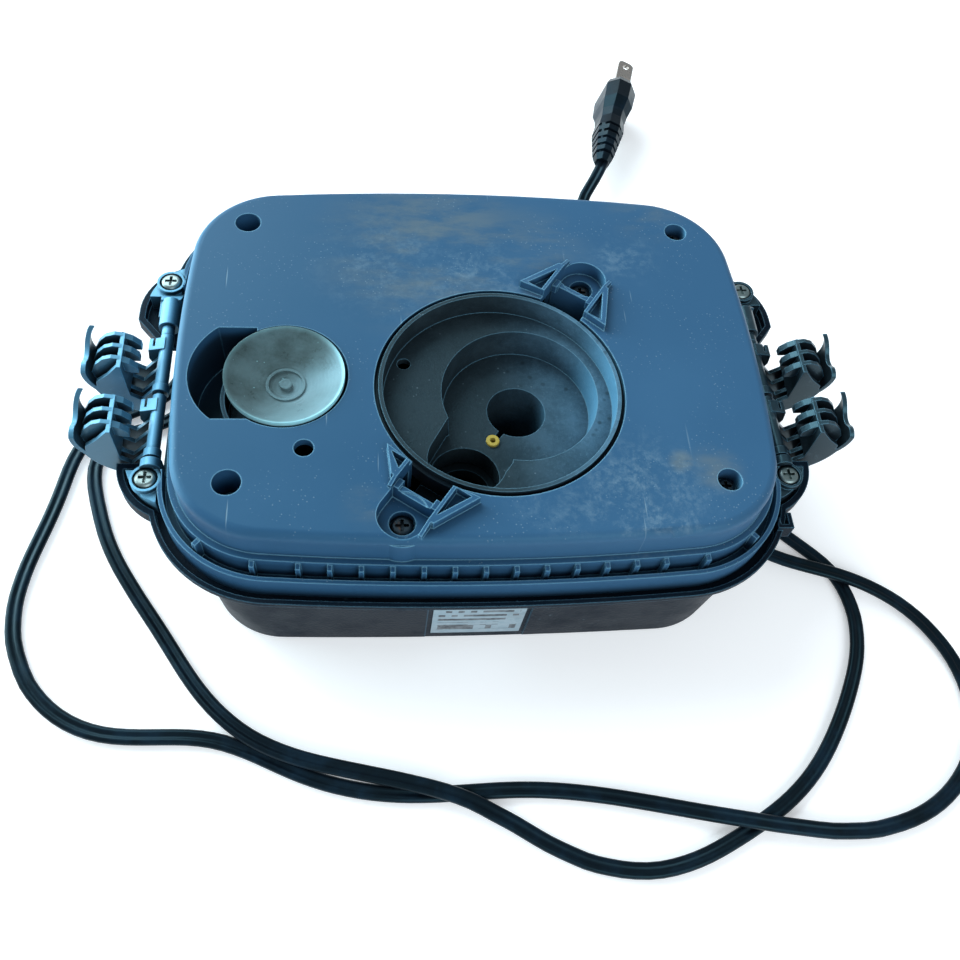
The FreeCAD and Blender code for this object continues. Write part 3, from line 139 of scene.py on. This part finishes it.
class Shader:
    """A node graph for one material, in the object's own coordinates, which are the frame's metres."""

    def __init__(self, name):
        self.material = bpy.data.materials.new(name)
        self.material.use_nodes = True
        self.nodes = self.material.node_tree.nodes
        self.links = self.material.node_tree.links
        self.bsdf = self.nodes["Principled BSDF"]
        self.place = self.nodes.new("ShaderNodeTexCoord").outputs["Object"]

    def put(self, socket, value):
        """Feeds a socket from another node's output, a number or a colour."""
        if isinstance(value, bpy.types.NodeSocket):
            self.links.new(value, socket)
        elif isinstance(value, tuple) and len(value) == 3 and socket.type == "RGBA":
            socket.default_value = (*value, 1.0)
        else:
            socket.default_value = value

    def stretched(self, scale, turn=(0.0, 0.0, 0.0)):
        """The object's coordinates, scaled unequally and turned."""
        mapping = self.nodes.new("ShaderNodeMapping")
        self.links.new(self.place, mapping.inputs["Vector"])
        mapping.inputs["Scale"].default_value = scale
        mapping.inputs["Rotation"].default_value = turn
        return mapping.outputs["Vector"]

    def noise(self, scale, detail=4.0, roughness=0.55, vector=None, distortion=0.0):
        node = self.nodes.new("ShaderNodeTexNoise")
        self.links.new(vector or self.place, node.inputs["Vector"])
        node.inputs["Scale"].default_value = scale
        node.inputs["Detail"].default_value = detail
        node.inputs["Roughness"].default_value = roughness
        node.inputs["Distortion"].default_value = distortion
        return node.outputs["Fac"]

    def cells(self, scale, feature="F1", vector=None):
        node = self.nodes.new("ShaderNodeTexVoronoi")
        node.feature = feature
        self.links.new(vector or self.place, node.inputs["Vector"])
        node.inputs["Scale"].default_value = scale
        return node.outputs["Distance"]

    def between(self, value, low, high, smooth=True):
        """0 below low and 1 above high; low may be the larger of the two."""
        node = self.nodes.new("ShaderNodeMapRange")
        node.interpolation_type = "SMOOTHSTEP" if smooth else "LINEAR"
        self.put(node.inputs["Value"], value)
        node.inputs["From Min"].default_value = low
        node.inputs["From Max"].default_value = high
        return node.outputs["Result"]

    def math(self, operation, first, second=0.0):
        node = self.nodes.new("ShaderNodeMath")
        node.operation = operation
        self.put(node.inputs[0], first)
        self.put(node.inputs[1], second)
        return node.outputs["Value"]

    def times(self, *values):
        product = values[0]
        for value in values[1:]:
            product = self.math("MULTIPLY", product, value)
        return product

    def plus(self, *values):
        total = values[0]
        for value in values[1:]:
            total = self.math("ADD", total, value)
        return total

    def mix(self, share, first, second):
        """A colour between two, by share."""
        node = self.nodes.new("ShaderNodeMix")
        node.data_type = "RGBA"
        self.put(node.inputs["Factor"], share)
        self.put(node.inputs["A"], first)
        self.put(node.inputs["B"], second)
        return node.outputs["Result"]

    def near(self, spot, inner, outer):
        """1 within the inner distance of a spot and 0 past the outer one, both in metres."""
        node = self.nodes.new("ShaderNodeVectorMath")
        node.operation = "DISTANCE"
        self.links.new(self.place, node.inputs[0])
        node.inputs[1].default_value = spot
        return self.between(node.outputs["Value"], outer, inner)

    def axis(self, name):
        node = self.nodes.new("ShaderNodeSeparateXYZ")
        self.links.new(self.place, node.inputs[0])
        return node.outputs[name]

    def soft_normal(self, radius):
        """The surface normal with edges rounded off over a radius in metres."""
        node = self.nodes.new("ShaderNodeBevel")
        node.samples = 4
        node.inputs["Radius"].default_value = radius
        return node.outputs["Normal"]

    def edges(self, radius):
        """1 along sharp edges and 0 on flat faces."""
        geometry = self.nodes.new("ShaderNodeNewGeometry")
        node = self.nodes.new("ShaderNodeVectorMath")
        node.operation = "DOT_PRODUCT"
        self.links.new(self.soft_normal(radius), node.inputs[0])
        self.links.new(geometry.outputs["Normal"], node.inputs[1])
        return self.between(node.outputs["Value"], 0.99, 0.80)

    def crevices(self, distance):
        """1 deep in corners and 0 on open faces; the materials darken towards near-black by it as painted shade."""
        node = self.nodes.new("ShaderNodeAmbientOcclusion")
        node.samples = 4
        node.inputs["Distance"].default_value = distance
        return self.between(node.outputs["AO"], 0.85, 0.30)

    def upward(self):
        """1 on faces that look up and 0 on upright ones."""
        geometry = self.nodes.new("ShaderNodeNewGeometry")
        node = self.nodes.new("ShaderNodeSeparateXYZ")
        self.links.new(geometry.outputs["Normal"], node.inputs[0])
        return self.between(node.outputs["Z"], 0.3, 0.9)

    def facing(self, direction, low, high):
        """0 on faces turned less than low towards a direction and 1 on those turned more than high."""
        geometry = self.nodes.new("ShaderNodeNewGeometry")
        node = self.nodes.new("ShaderNodeVectorMath")
        node.operation = "DOT_PRODUCT"
        self.links.new(geometry.outputs["Normal"], node.inputs[0])
        node.inputs[1].default_value = direction
        return self.between(node.outputs["Value"], low, high)

    def painted_edge_highlights(self, colour, radius, share):
        """A colour with painted highlights along sharp edges, brightest on those turned to the window."""
        edges = self.edges(radius)
        lit = self.facing(WINDOW_SIDE, -0.15, 0.45)
        colour = self.mix(self.times(edges, share), colour, PAINTED_LIGHT_BLUE)
        return self.mix(self.times(edges, lit, share), colour, PAINTED_EDGE_HIGHLIGHT)

    def bump(self, height, depth, radius=0.0004):
        """Relief of a depth in metres over softened edges."""
        node = self.nodes.new("ShaderNodeBump")
        node.inputs["Distance"].default_value = depth
        self.put(node.inputs["Height"], height)
        if radius:
            self.links.new(self.soft_normal(radius), node.inputs["Normal"])
        self.links.new(node.outputs["Normal"], self.bsdf.inputs["Normal"])

    def finish(self, colour, roughness, **others):
        self.put(self.bsdf.inputs["Base Color"], colour)
        self.put(self.bsdf.inputs["Roughness"], roughness)
        for name, value in others.items():
            self.put(self.bsdf.inputs[name.replace("_", " ")], value)
        return self.material


def scratches(shader, turns):
    """Short straight scratches: a few sharp spots, drawn out along each direction."""
    worst = 0.0
    for i, turn in enumerate(turns):
        vector = shader.stretched((1.0, 0.05, 0.0), (0.0, 0.0, math.radians(turn)))
        line = shader.between(shader.cells(85.0 + 26 * i, vector=vector), 0.042, 0.008)
        worst = shader.math("MAXIMUM", worst, line)
    return worst


def stains(shader, spots, pattern):
    """How stained a point is by a list of spots, each broken up by a pattern."""
    worst = 0.0
    for x, y, inner, outer, strength in spots:
        spot = shader.near((x * MM, y * MM, WET_FACE), inner * MM, outer * MM)
        worst = shader.math("MAXIMUM", worst, shader.times(spot, pattern, strength))
    return worst


def slate_plastic(pocket_centre):
    """Satin blue-grey moulding with limescale and silt and a few scratches, painted darker towards its left, with
    painted shade in its corners and pocket, painted window light on faces turned to it and painted highlights on its
    edges.
    """
    s = Shader("slate_plastic")
    broad = s.noise(14.0, 3.0, 0.5)
    fine = s.noise(420.0, 5.0, 0.6)
    # Painted shade: the base is darker towards the left, evening out the stronger light from that side
    rightward = s.between(s.axis("X"), CAD_BOX[0][0] / 2, CAD_BOX[1][0] / 2)
    base = s.mix(s.plus(s.times(rightward, 0.7), s.times(s.between(broad, 0.35, 0.68), 0.3)), SLATE_DEEP, SLATE)

    crust = s.between(fine, 0.34, 0.60)
    cloud = s.times(s.between(s.noise(95.0, 12.0, 0.80, distortion=0.3), 0.42, 0.66), crust)
    drift = s.between(s.noise(70.0, 9.0, 0.7, s.stretched((0.4, 1.0, 1.0), (0, 0, 0.15))), 0.40, 0.66)
    specks = s.times(s.between(s.cells(640.0), 0.20, 0.07), s.between(s.noise(45.0, 2.0), 0.46, 0.60))
    flat = s.upward()
    chalk = s.times(s.math("MAXIMUM", stains(s, CHALK_STAINS, cloud), s.times(specks, 0.80)), flat)
    silt = s.times(stains(s, SILT_STAINS, drift), flat)
    colour = s.mix(s.times(silt, 0.55), base, SILT)
    colour = s.mix(s.times(chalk, 0.55), colour, LIMESCALE)

    marks = scratches(s, (12, -38, 71, 118, 155))
    colour = s.mix(s.times(marks, 0.55), colour, LIMESCALE)
    # Painted shade: near-black in corners and creases
    colour = s.mix(s.times(s.crevices(0.004), 0.60), colour, NEAR_BLACK)
    # Painted shade: near-black on the pocket's walls and floor below the wet face, round the disc
    pocket = s.times(s.near(pocket_centre, 0.031, 0.035), s.between(s.axis("Z"), WET_FACE - 1 * MM, WET_FACE - 6 * MM))
    colour = s.mix(s.times(pocket, 0.80), colour, NEAR_BLACK)
    # Painted window light: faces turned to the window are paler blue
    colour = s.mix(s.times(s.facing(WINDOW_SIDE, 0.30, 0.95), 0.55), colour, PAINTED_LIGHT_BLUE)
    # Painted highlights along edges, palest on those turned to the window
    colour = s.painted_edge_highlights(colour, 0.0008, 0.55)

    roughness = s.plus(0.42, s.times(chalk, 0.3), s.times(silt, 0.2), s.times(s.between(broad, 0.3, 0.7), 0.06))
    s.bump(s.plus(s.times(fine, 0.35), s.times(marks, -0.6), s.times(chalk, 0.6)), 0.00010)
    return s.finish(colour, roughness, Specular_IOR_Level=0.28, Specular_Tint=COOL_SHEEN)


def chamber_plastic(low, high):
    """The same moulding where water has stood on it: mottled and speckled, darker and greyer on the left with sludge
    and with the painted shadow of the well wall, with painted shade in its corners, painted window light on walls
    turned to it and painted highlights on its edges.
    """
    s = Shader("chamber_plastic")
    # Partly sludge and partly painted shadow: the left of the chamber, which lies in the shadow of the well wall, is
    # darker and greyer
    clean_and_lit = s.between(s.axis("X"), 0.55 * low.x + 0.45 * high.x, high.x)
    pale = s.mix(clean_and_lit, SLUDGE_AND_SHADOW, CHAMBER)
    dark = s.mix(clean_and_lit, SLUDGE_AND_SHADOW_DEEP, CHAMBER_DEEP)
    mottle = s.between(s.noise(95.0, 10.0, 0.72), 0.38, 0.64)
    speck = s.between(s.noise(900.0, 4.0, 0.7), 0.50, 0.68)
    flat = s.upward()
    colour = s.mix(s.plus(0.25, s.times(mottle, 0.45), s.times(speck, 0.25)), dark, pale)
    dots = s.times(s.between(s.cells(330.0), 0.13, 0.04), flat, s.between(s.noise(50.0), 0.45, 0.6))
    colour = s.mix(s.times(dots, 0.45), colour, LIMESCALE)
    pits = s.times(s.between(s.cells(260.0), 0.30, 0.10), flat, s.between(s.noise(60.0), 0.46, 0.60))
    colour = s.mix(s.times(pits, 0.6), colour, SLUDGE_AND_SHADOW_DEEP)
    # Painted shade: near-black deep in corners
    colour = s.mix(s.times(s.crevices(0.014), 0.85), colour, NEAR_BLACK)
    # Painted window light: walls on the right that turn to the window are paler blue
    painted_lit_wall = s.times(s.facing(WINDOW_SIDE, 0.25, 0.85), clean_and_lit)
    colour = s.mix(s.times(painted_lit_wall, 0.65), colour, PAINTED_LIGHT_BLUE)
    # Painted highlights along edges
    colour = s.painted_edge_highlights(colour, 0.0005, 0.36)
    s.bump(s.plus(mottle, s.times(speck, 0.6), dots), 0.00008)
    roughness = s.plus(0.42, s.times(mottle, 0.2))
    return s.finish(colour, roughness, Specular_IOR_Level=0.28, Specular_Tint=COOL_SHEEN)


def cover_plastic():
    """Dark textured moulding with a faint brown bloom of dust, scuffs and painted highlights on its edges."""
    s = Shader("cover_plastic")
    grain = s.cells(1500.0)
    dust = s.between(s.noise(45.0, 7.0, 0.65), 0.42, 0.75)
    colour = s.mix(s.times(dust, 0.6), COVER_DARK, COVER_DUST)
    scuffs = s.times(s.between(s.noise(300.0, 6.0, 0.7), 0.60, 0.72), s.between(s.noise(30.0, 2.0), 0.5, 0.62))
    colour = s.mix(s.times(scuffs, 0.35), colour, LIMESCALE)
    # Painted highlights along edges
    colour = s.painted_edge_highlights(colour, 0.0007, 0.28)
    s.bump(s.plus(s.times(grain, 0.7), s.times(dust, 0.4)), 0.00012, 0.0006)
    roughness = s.plus(0.40, s.times(dust, 0.25))
    return s.finish(colour, roughness, Specular_IOR_Level=0.06, Specular_Tint=COOL_SHEEN)


def clamp_plastic(name, pale, deep):
    """Smooth slate moulding of the clamps and brackets, with a light grime, painted window light on faces turned to
    the window, painted highlights on its edges and painted shade in its windows.
    """
    s = Shader(name)
    # Painted window light: faces turned to the window take the paler colour, the others the deeper one
    painted_window_light = s.facing(WINDOW_SIDE, -0.50, 0.45)
    tone = s.times(painted_window_light, s.plus(0.7, s.times(s.between(s.noise(40.0, 4.0), 0.3, 0.65), 0.3)))
    colour = s.mix(tone, deep, pale)
    grime = s.between(s.noise(160.0, 8.0, 0.7), 0.55, 0.74)
    colour = s.mix(s.times(grime, 0.22), colour, LIMESCALE)
    # Painted shade: near-black in corners and in the windows of the arms
    colour = s.mix(s.times(s.crevices(0.010), 0.92), colour, NEAR_BLACK)
    # Painted highlights along edges
    colour = s.painted_edge_highlights(colour, 0.0005, 0.40)
    s.bump(s.plus(s.times(grime, 0.5), s.times(s.noise(500.0, 4.0), 0.5)), 0.00006, 0.0005)
    roughness = s.plus(0.28, s.times(grime, 0.2))
    return s.finish(colour, roughness, Specular_IOR_Level=0.50, Specular_Tint=COOL_SHEEN)


def disc_plastic(centre, rim):
    """Slightly translucent grey-green dish with turned rings and a pale haze, painted light paling one side and a
    painted highlight along the rim on that side.
    """
    s = Shader("disc_plastic")
    away = s.nodes.new("ShaderNodeVectorMath")
    away.operation = "DISTANCE"
    flat = s.stretched((1.0, 1.0, 0.0))
    s.links.new(flat, away.inputs[0])
    away.inputs[1].default_value = (centre[0], centre[1], 0.0)
    radius = away.outputs["Value"]
    rings = s.math("SINE", s.math("MULTIPLY", radius, 5200.0))
    # Painted light: the dish is paler towards its right and front side, where the light falls across it
    aside = s.math("SUBTRACT", s.math("SUBTRACT", s.axis("X"), s.axis("Y")), centre[0] - centre[1])
    lit_side = s.between(aside, -0.5 * rim, 1.5 * rim)
    haze = s.between(s.noise(85.0, 9.0, 0.72), 0.34, 0.70)
    painted_light_and_haze = s.plus(0.04, s.times(lit_side, 0.70), s.times(haze, 0.20))
    colour = s.mix(s.math("MINIMUM", painted_light_and_haze, 1.0), DISC_GREEN, DISC_PALE)
    # Painted highlight along the rim, strongest on the lit side
    edge = s.times(s.between(radius, 0.92 * rim, 0.995 * rim), s.plus(0.12, s.times(lit_side, 0.88)))
    colour = s.mix(edge, colour, DISC_EDGE)
    specks = s.times(s.between(s.cells(420.0), 0.12, 0.04), s.between(s.noise(60.0), 0.48, 0.60))
    colour = s.mix(s.times(specks, 0.5), colour, DISC_EDGE)
    s.bump(s.plus(s.times(rings, 0.15), s.times(haze, 0.4)), 0.00006, 0.0003)
    return s.finish(
        colour,
        s.plus(0.26, s.times(haze, 0.20)),
        Subsurface_Weight=0.15,
        Subsurface_Radius=(0.6, 1.0, 1.0),
        Subsurface_Scale=0.002,
        Specular_IOR_Level=0.35,
        Specular_Tint=COOL_SHEEN,
    )


def rubber(name, colour, sheen_colour, roughness, ripple):
    """Soft rubber with a faint bloom in a paler colour, partly the rubber's bloom and partly painted sheen, with
    painted shade in its creases and with handling marks.
    """
    s = Shader(name)
    bloom_and_sheen = s.between(s.noise(70.0, 6.0, 0.65), 0.42, 0.72)
    fine = s.noise(700.0, 4.0, 0.6)
    # Partly bloom and partly painted sheen: patches of the paler sheen colour
    tone = s.mix(s.times(bloom_and_sheen, 0.6), colour, sheen_colour)
    # Painted shade: near-black in creases
    tone = s.mix(s.times(s.crevices(0.0015), 0.6), tone, NEAR_BLACK)
    s.bump(s.plus(s.times(fine, 0.4), s.times(bloom_and_sheen, 0.5)), ripple, 0.0003)
    rough = s.plus(roughness, s.times(bloom_and_sheen, 0.15))
    return s.finish(tone, rough, Specular_IOR_Level=0.20, Specular_Tint=COOL_SHEEN)


def bright_metal(name, colour, roughness):
    """Bright metal with fine drawn lines, dull rusty spots and painted shade in the corners."""
    s = Shader(name)
    lines = s.noise(900.0, 3.0, 0.6, s.stretched((1.0, 0.15, 1.0), (0, 0, 0.6)))
    spots = s.between(s.noise(380.0, 6.0, 0.7), 0.55, 0.72)
    tone = s.mix(s.times(spots, 0.6), colour, RUST)
    # Painted shade: near-black in corners
    tone = s.mix(s.times(s.crevices(0.0015), 0.45), tone, NEAR_BLACK)
    s.bump(s.plus(s.times(lines, 0.5), s.times(spots, 0.5)), 0.00004, 0.0003)
    rough = s.plus(roughness, s.times(spots, 0.3), s.times(lines, 0.12))
    return s.finish(tone, rough, Metallic=s.math("SUBTRACT", 1.0, s.times(spots, 0.5)))


def label_film(low, high):
    """A pale printed film with generic dark bars in place of print: one heavy row and several fine ones."""
    s = Shader("label_film")
    across = s.between(s.axis("X"), low.x, high.x, smooth=False)
    up = s.between(s.axis("Z"), low.z, high.z, smooth=False)
    margin = s.times(s.between(across, 0.05, 0.07), s.between(across, 0.95, 0.93))
    heavy = s.times(s.between(up, 0.12, 0.14), s.between(up, 0.32, 0.30))
    fine_rows = s.times(s.between(up, 0.38, 0.39), s.between(up, 0.94, 0.93))
    in_row = s.math("FRACT", s.math("MULTIPLY", up, 7.0))
    fine_bar = s.times(fine_rows, s.between(in_row, 0.28, 0.34), s.between(in_row, 0.82, 0.76))
    blocks = s.nodes.new("ShaderNodeTexWhiteNoise")
    blocks.noise_dimensions = "2D"
    block_place = s.nodes.new("ShaderNodeCombineXYZ")
    s.links.new(s.math("FLOOR", s.math("MULTIPLY", across, 15.0)), block_place.inputs["X"])
    s.links.new(s.math("FLOOR", s.math("MULTIPLY", up, 7.0)), block_place.inputs["Y"])
    s.links.new(block_place.outputs[0], blocks.inputs["Vector"])
    printed = s.between(blocks.outputs["Value"], 0.30, 0.32)
    wear = s.between(s.noise(260.0, 7.0, 0.7), 0.40, 0.62)
    ink = s.times(s.math("MAXIMUM", heavy, fine_bar), printed, margin, s.plus(0.70, s.times(wear, 0.25)))
    colour = s.mix(ink, PAPER, INK)
    colour = s.mix(s.times(s.between(s.noise(90.0, 6.0), 0.48, 0.75), 0.25), colour, COVER_DUST)
    s.bump(wear, 0.00003, 0.0)
    return s.finish(colour, s.plus(0.34, s.times(wear, 0.2)), Metallic=0.10)


def winding():
    """Resin-coated copper wire, wound in fine turns."""
    s = Shader("copper_winding")
    turns = s.math("SINE", s.math("MULTIPLY", s.axis("X"), 9000.0))
    shade = s.between(s.noise(120.0, 5.0), 0.35, 0.7)
    colour = s.mix(shade, COPPER, RUST)
    s.bump(s.plus(s.times(turns, 0.5), s.times(shade, 0.3)), 0.0002, 0.0004)
    return s.finish(colour, s.plus(0.28, s.times(shade, 0.2)), Metallic=0.6)


def laminations():
    """Stacked steel sheets, seen as fine level lines, with rust stains."""
    s = Shader("lamination_steel")
    sheets = s.math("SINE", s.math("MULTIPLY", s.axis("Z"), 9000.0))
    stain = s.between(s.noise(150.0, 6.0), 0.40, 0.68)
    colour = s.mix(stain, SHEET_STEEL, RUST)
    s.bump(s.plus(s.times(sheets, 0.6), s.times(stain, 0.3)), 0.0001, 0.0003)
    return s.finish(colour, s.plus(0.38, s.times(stain, 0.2)), Metallic=0.85)


def cord_line(mesh, step):
    """Evenly spaced points down the middle of the cord's solid, with the directions along it.

    The way along the solid is measured over its surface from the plug end, and each point is the
    middle of the vertices that lie between one step and the next. A step whose vertices don't reach
    from one edge of the cord to the other is left out. The line starts a little inside the plug, which
    is moulded round the cord.
    """
    shape = bmesh.new()
    shape.from_mesh(mesh)
    bmesh.ops.remove_doubles(shape, verts=shape.verts, dist=0.001 * MM)
    shape.verts.index_update()
    start = max(shape.verts, key=lambda vert: vert.co.y)
    reached = {start: 0.0}
    queue = [(0.0, start.index, start)]
    while queue:
        way, _, vert = heapq.heappop(queue)
        if way > reached[vert]:
            continue
        for edge in vert.link_edges:
            other = edge.other_vert(vert)
            further = way + edge.calc_length()
            if further < reached.get(other, math.inf):
                reached[other] = further
                heapq.heappush(queue, (further, other.index, other))
    slices = {}
    for vert, way in reached.items():
        slices.setdefault(int(way / step), []).append(vert.co.copy())
    shape.free()
    groups = [slices[i] for i in sorted(slices)]
    rough = [sum(group, Vector()) / len(group) for group in groups]
    middles = []
    for i, group in enumerate(groups):
        across = heading(rough, i).cross(Vector((0, 0, 1))).normalized()
        aside = [(place - rough[i]).dot(across) for place in group]
        if max(aside) - min(aside) < FULL_SLICE * CORD_WIDTH:
            continue
        heights = [place.z for place in group]
        middle = rough[i] + across * ((min(aside) + max(aside)) / 2)
        middle.z = (min(heights) + max(heights)) / 2
        middles.append(middle)
    along = heading(middles, 0)
    to_end = max((middles[0] - place).dot(along) for place in slices[0])
    smooth = [middles[0] - along * (to_end + CORD_BURIED), middles[0]]
    for before, here, after in zip(middles, middles[1:], middles[2:]):
        smooth.append((before + 2 * here + after) / 4)
    return smooth + [middles[-1]]


def heading(points, i):
    """The direction along a line of points at one of them."""
    before = points[max(i - 1, 0)]
    after = points[min(i + 1, len(points) - 1)]
    return (after - before).normalized()


def twin_section():
    """Points round the cord's section, as distances across it and up."""
    radius = CORD_THICKNESS / 2
    middle = CORD_WIDTH / 2 - radius
    ring = []
    for side in (1, -1):
        for i in range(LOBE_STEPS + 1):
            turn = LOBE_TURN * (2 * i / LOBE_STEPS - 1)
            ring.append((side * (middle + radius * math.cos(turn)), side * radius * math.sin(turn)))
    return ring


def twin_cord(material):
    """The flexible cord as it lies: two round cores side by side, along the middle of its CAD solid."""
    line = cord_line(frame["nodes"]["power_cord"].data, CORD_STEP)
    section = twin_section()
    shape = bmesh.new()
    rings = []
    for i, middle in enumerate(line):
        along = heading(line, i)
        across = along.cross(Vector((0, 0, 1))).normalized()
        up = across.cross(along)
        rings.append([shape.verts.new(middle + across * a + up * b) for a, b in section])
    for first, second in zip(rings, rings[1:]):
        for j in range(len(section)):
            k = (j + 1) % len(section)
            shape.faces.new((first[j], first[k], second[k], second[j]))
    shape.faces.new(rings[0])
    shape.faces.new(rings[-1])
    bmesh.ops.recalc_face_normals(shape, faces=shape.faces)
    for face in shape.faces:
        face.smooth = True
    mesh = bpy.data.meshes.new("twin_cord")
    shape.to_mesh(mesh)
    shape.free()
    mesh.materials.append(material)
    cord = bpy.data.objects.new("twin_cord", mesh)
    bpy.context.scene.collection.objects.link(cord)
    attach(cord, "head")
    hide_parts("power_cord")


def dress(names, material):
    """Gives CAD nodes their one material."""
    for name in names:
        mesh = frame["nodes"][name].data
        mesh.materials.clear()
        mesh.materials.append(material)


def dress_all():
    hinged = [name for name in frame["nodes"] if name.startswith(("clamp_", "bracket_l", "bracket_r", "hinge_"))]
    disc_low, disc_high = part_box("valve_disc")
    label_low, label_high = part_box("rating_label")
    disc_rim = (disc_high.x - disc_low.x) / 2
    chamber = chamber_plastic(*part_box("pump_chamber"))
    black = rubber("black_rubber", NEAR_BLACK, CORD_SHEEN, 0.42, 0.00008)
    cord = rubber("cord_rubber", CORD_BLACK, CORD_SHEEN, 0.30, 0.00005)
    dull = bright_metal("dull_screw", DULL_STEEL, 0.42)
    dress(["plug_housing"], slate_plastic((disc_low + disc_high) / 2))
    dress(["pump_chamber", "valve_seat", "intake_pipe", "outlet_pipe"], chamber)
    dress(["top_cover", "hose_sockets"], cover_plastic())
    left = [name for name in hinged if "left" in name]
    right = [name for name in hinged if "right" in name]
    # The left and right clamps are one plastic: the left copy is painted lit and the right copy painted in shade
    dress(left, clamp_plastic("clamp_plastic_left_lit", CLAMP_LEFT_LIT_FACE, CLAMP_LEFT_SHADED_FACE))
    dress(right, clamp_plastic("clamp_plastic_right_shaded", CLAMP_RIGHT_LIT_FACE, CLAMP_RIGHT_SHADED_FACE))
    dress(["valve_disc"], disc_plastic((disc_low + disc_high) / 2, disc_rim))
    dress(["chamber_seal", "cord_grommet", "motor_leads"], black)
    dress(["plug_body"], cord)
    twin_cord(cord)
    dress(["chamber_bush"], rubber("olive_bush", OLIVE, (0.50, 0.42, 0.12), 0.40, 0.00008))
    dress(["bracket_screws"], bright_metal("screw_steel", STEEL, 0.36))
    dress(["housing_screws", "clip_screws"], dull)
    dress(["plug_blades"], bright_metal("blade_metal", BLADE, 0.22))
    dress(["rating_label"], label_film(label_low, label_high))
    dress(["stator_coils"], winding())
    dress(["stator_core"], laminations())


def floor():
    """A plain pale floor, well past the edge of the picture."""
    mesh = bpy.data.meshes.new("floor")
    reach = 6.0
    corners = [(-reach, -reach, 0), (reach, -reach, 0), (reach, reach, 0), (-reach, reach, 0)]
    mesh.from_pydata([(x, y, -0.0002) for x, y, _ in corners], [], [(0, 1, 2, 3)])
    plane = bpy.data.objects.new("floor", mesh)
    bpy.context.scene.collection.objects.link(plane)
    s = Shader("floor_paper")
    shade = s.noise(3.0, 3.0)
    colour = s.mix(s.times(shade, 0.06), (0.88, 0.89, 0.90), (0.80, 0.81, 0.83))
    paper = s.finish(colour, 0.85, Specular_IOR_Level=0.1, Emission_Color=colour, Emission_Strength=0.36)
    mesh.materials.append(paper)


def softbox(name, place, aim, size, power, colour):
    """A square area lamp at a place, turned towards aim."""
    data = bpy.data.lights.new(name, "AREA")
    data.shape = "RECTANGLE"
    data.size, data.size_y = size
    data.energy = power
    data.color = colour
    lamp = bpy.data.objects.new(name, data)
    bpy.context.scene.collection.objects.link(lamp)
    lamp.location = place
    lamp.rotation_mode = "QUATERNION"
    lamp.rotation_quaternion = (Vector(aim) - Vector(place)).to_track_quat("-Z", "Y")


def light():
    """A cool window behind and to the left, a low one at the left, a weak front and a pale surround."""
    softbox("window", (-1.00, 1.36, 1.50), (0, 0, 0.05), (1.8, 1.3), 52.0, (0.84, 0.95, 1.0))
    softbox("left_fill", (-1.80, 0.75, 0.58), (-0.05, 0, 0.05), (1.5, 1.0), 44.0, (0.74, 0.94, 1.0))
    softbox("front_fill", (0.45, -1.2, 0.9), (0, 0, 0.03), (1.2, 0.8), 15.0, (0.90, 0.96, 1.0))
    world = bpy.data.worlds.new("surround")
    world.use_nodes = True
    background = world.node_tree.nodes["Background"]
    background.inputs["Color"].default_value = (0.86, 0.94, 1.0, 1.0)
    background.inputs["Strength"].default_value = 0.42
    bpy.context.scene.world = world


def camera():
    data = bpy.data.cameras.new("camera")
    data.lens = CAMERA_LENS
    data.sensor_width = SENSOR_WIDTH
    data.clip_start = 0.01
    data.clip_end = 20.0
    eye = bpy.data.objects.new("camera", data)
    bpy.context.scene.collection.objects.link(eye)
    forward = CAMERA_FORWARD.normalized()
    right = (CAMERA_RIGHT - CAMERA_RIGHT.dot(forward) * forward).normalized()
    up = right.cross(forward)
    turn = Matrix((right, up, -forward)).transposed()
    eye.matrix_world = Matrix.Translation(CAMERA_PLACE) @ turn.to_4x4()
    bpy.context.scene.camera = eye


def grade():
    """Plain colour handling: the standard view, with no look and no change of exposure."""
    view = bpy.context.scene.view_settings
    view.view_transform = "Standard"
    view.look = "None"
    view.exposure = 0.0


dress_all()
floor()
light()
camera()
grade()
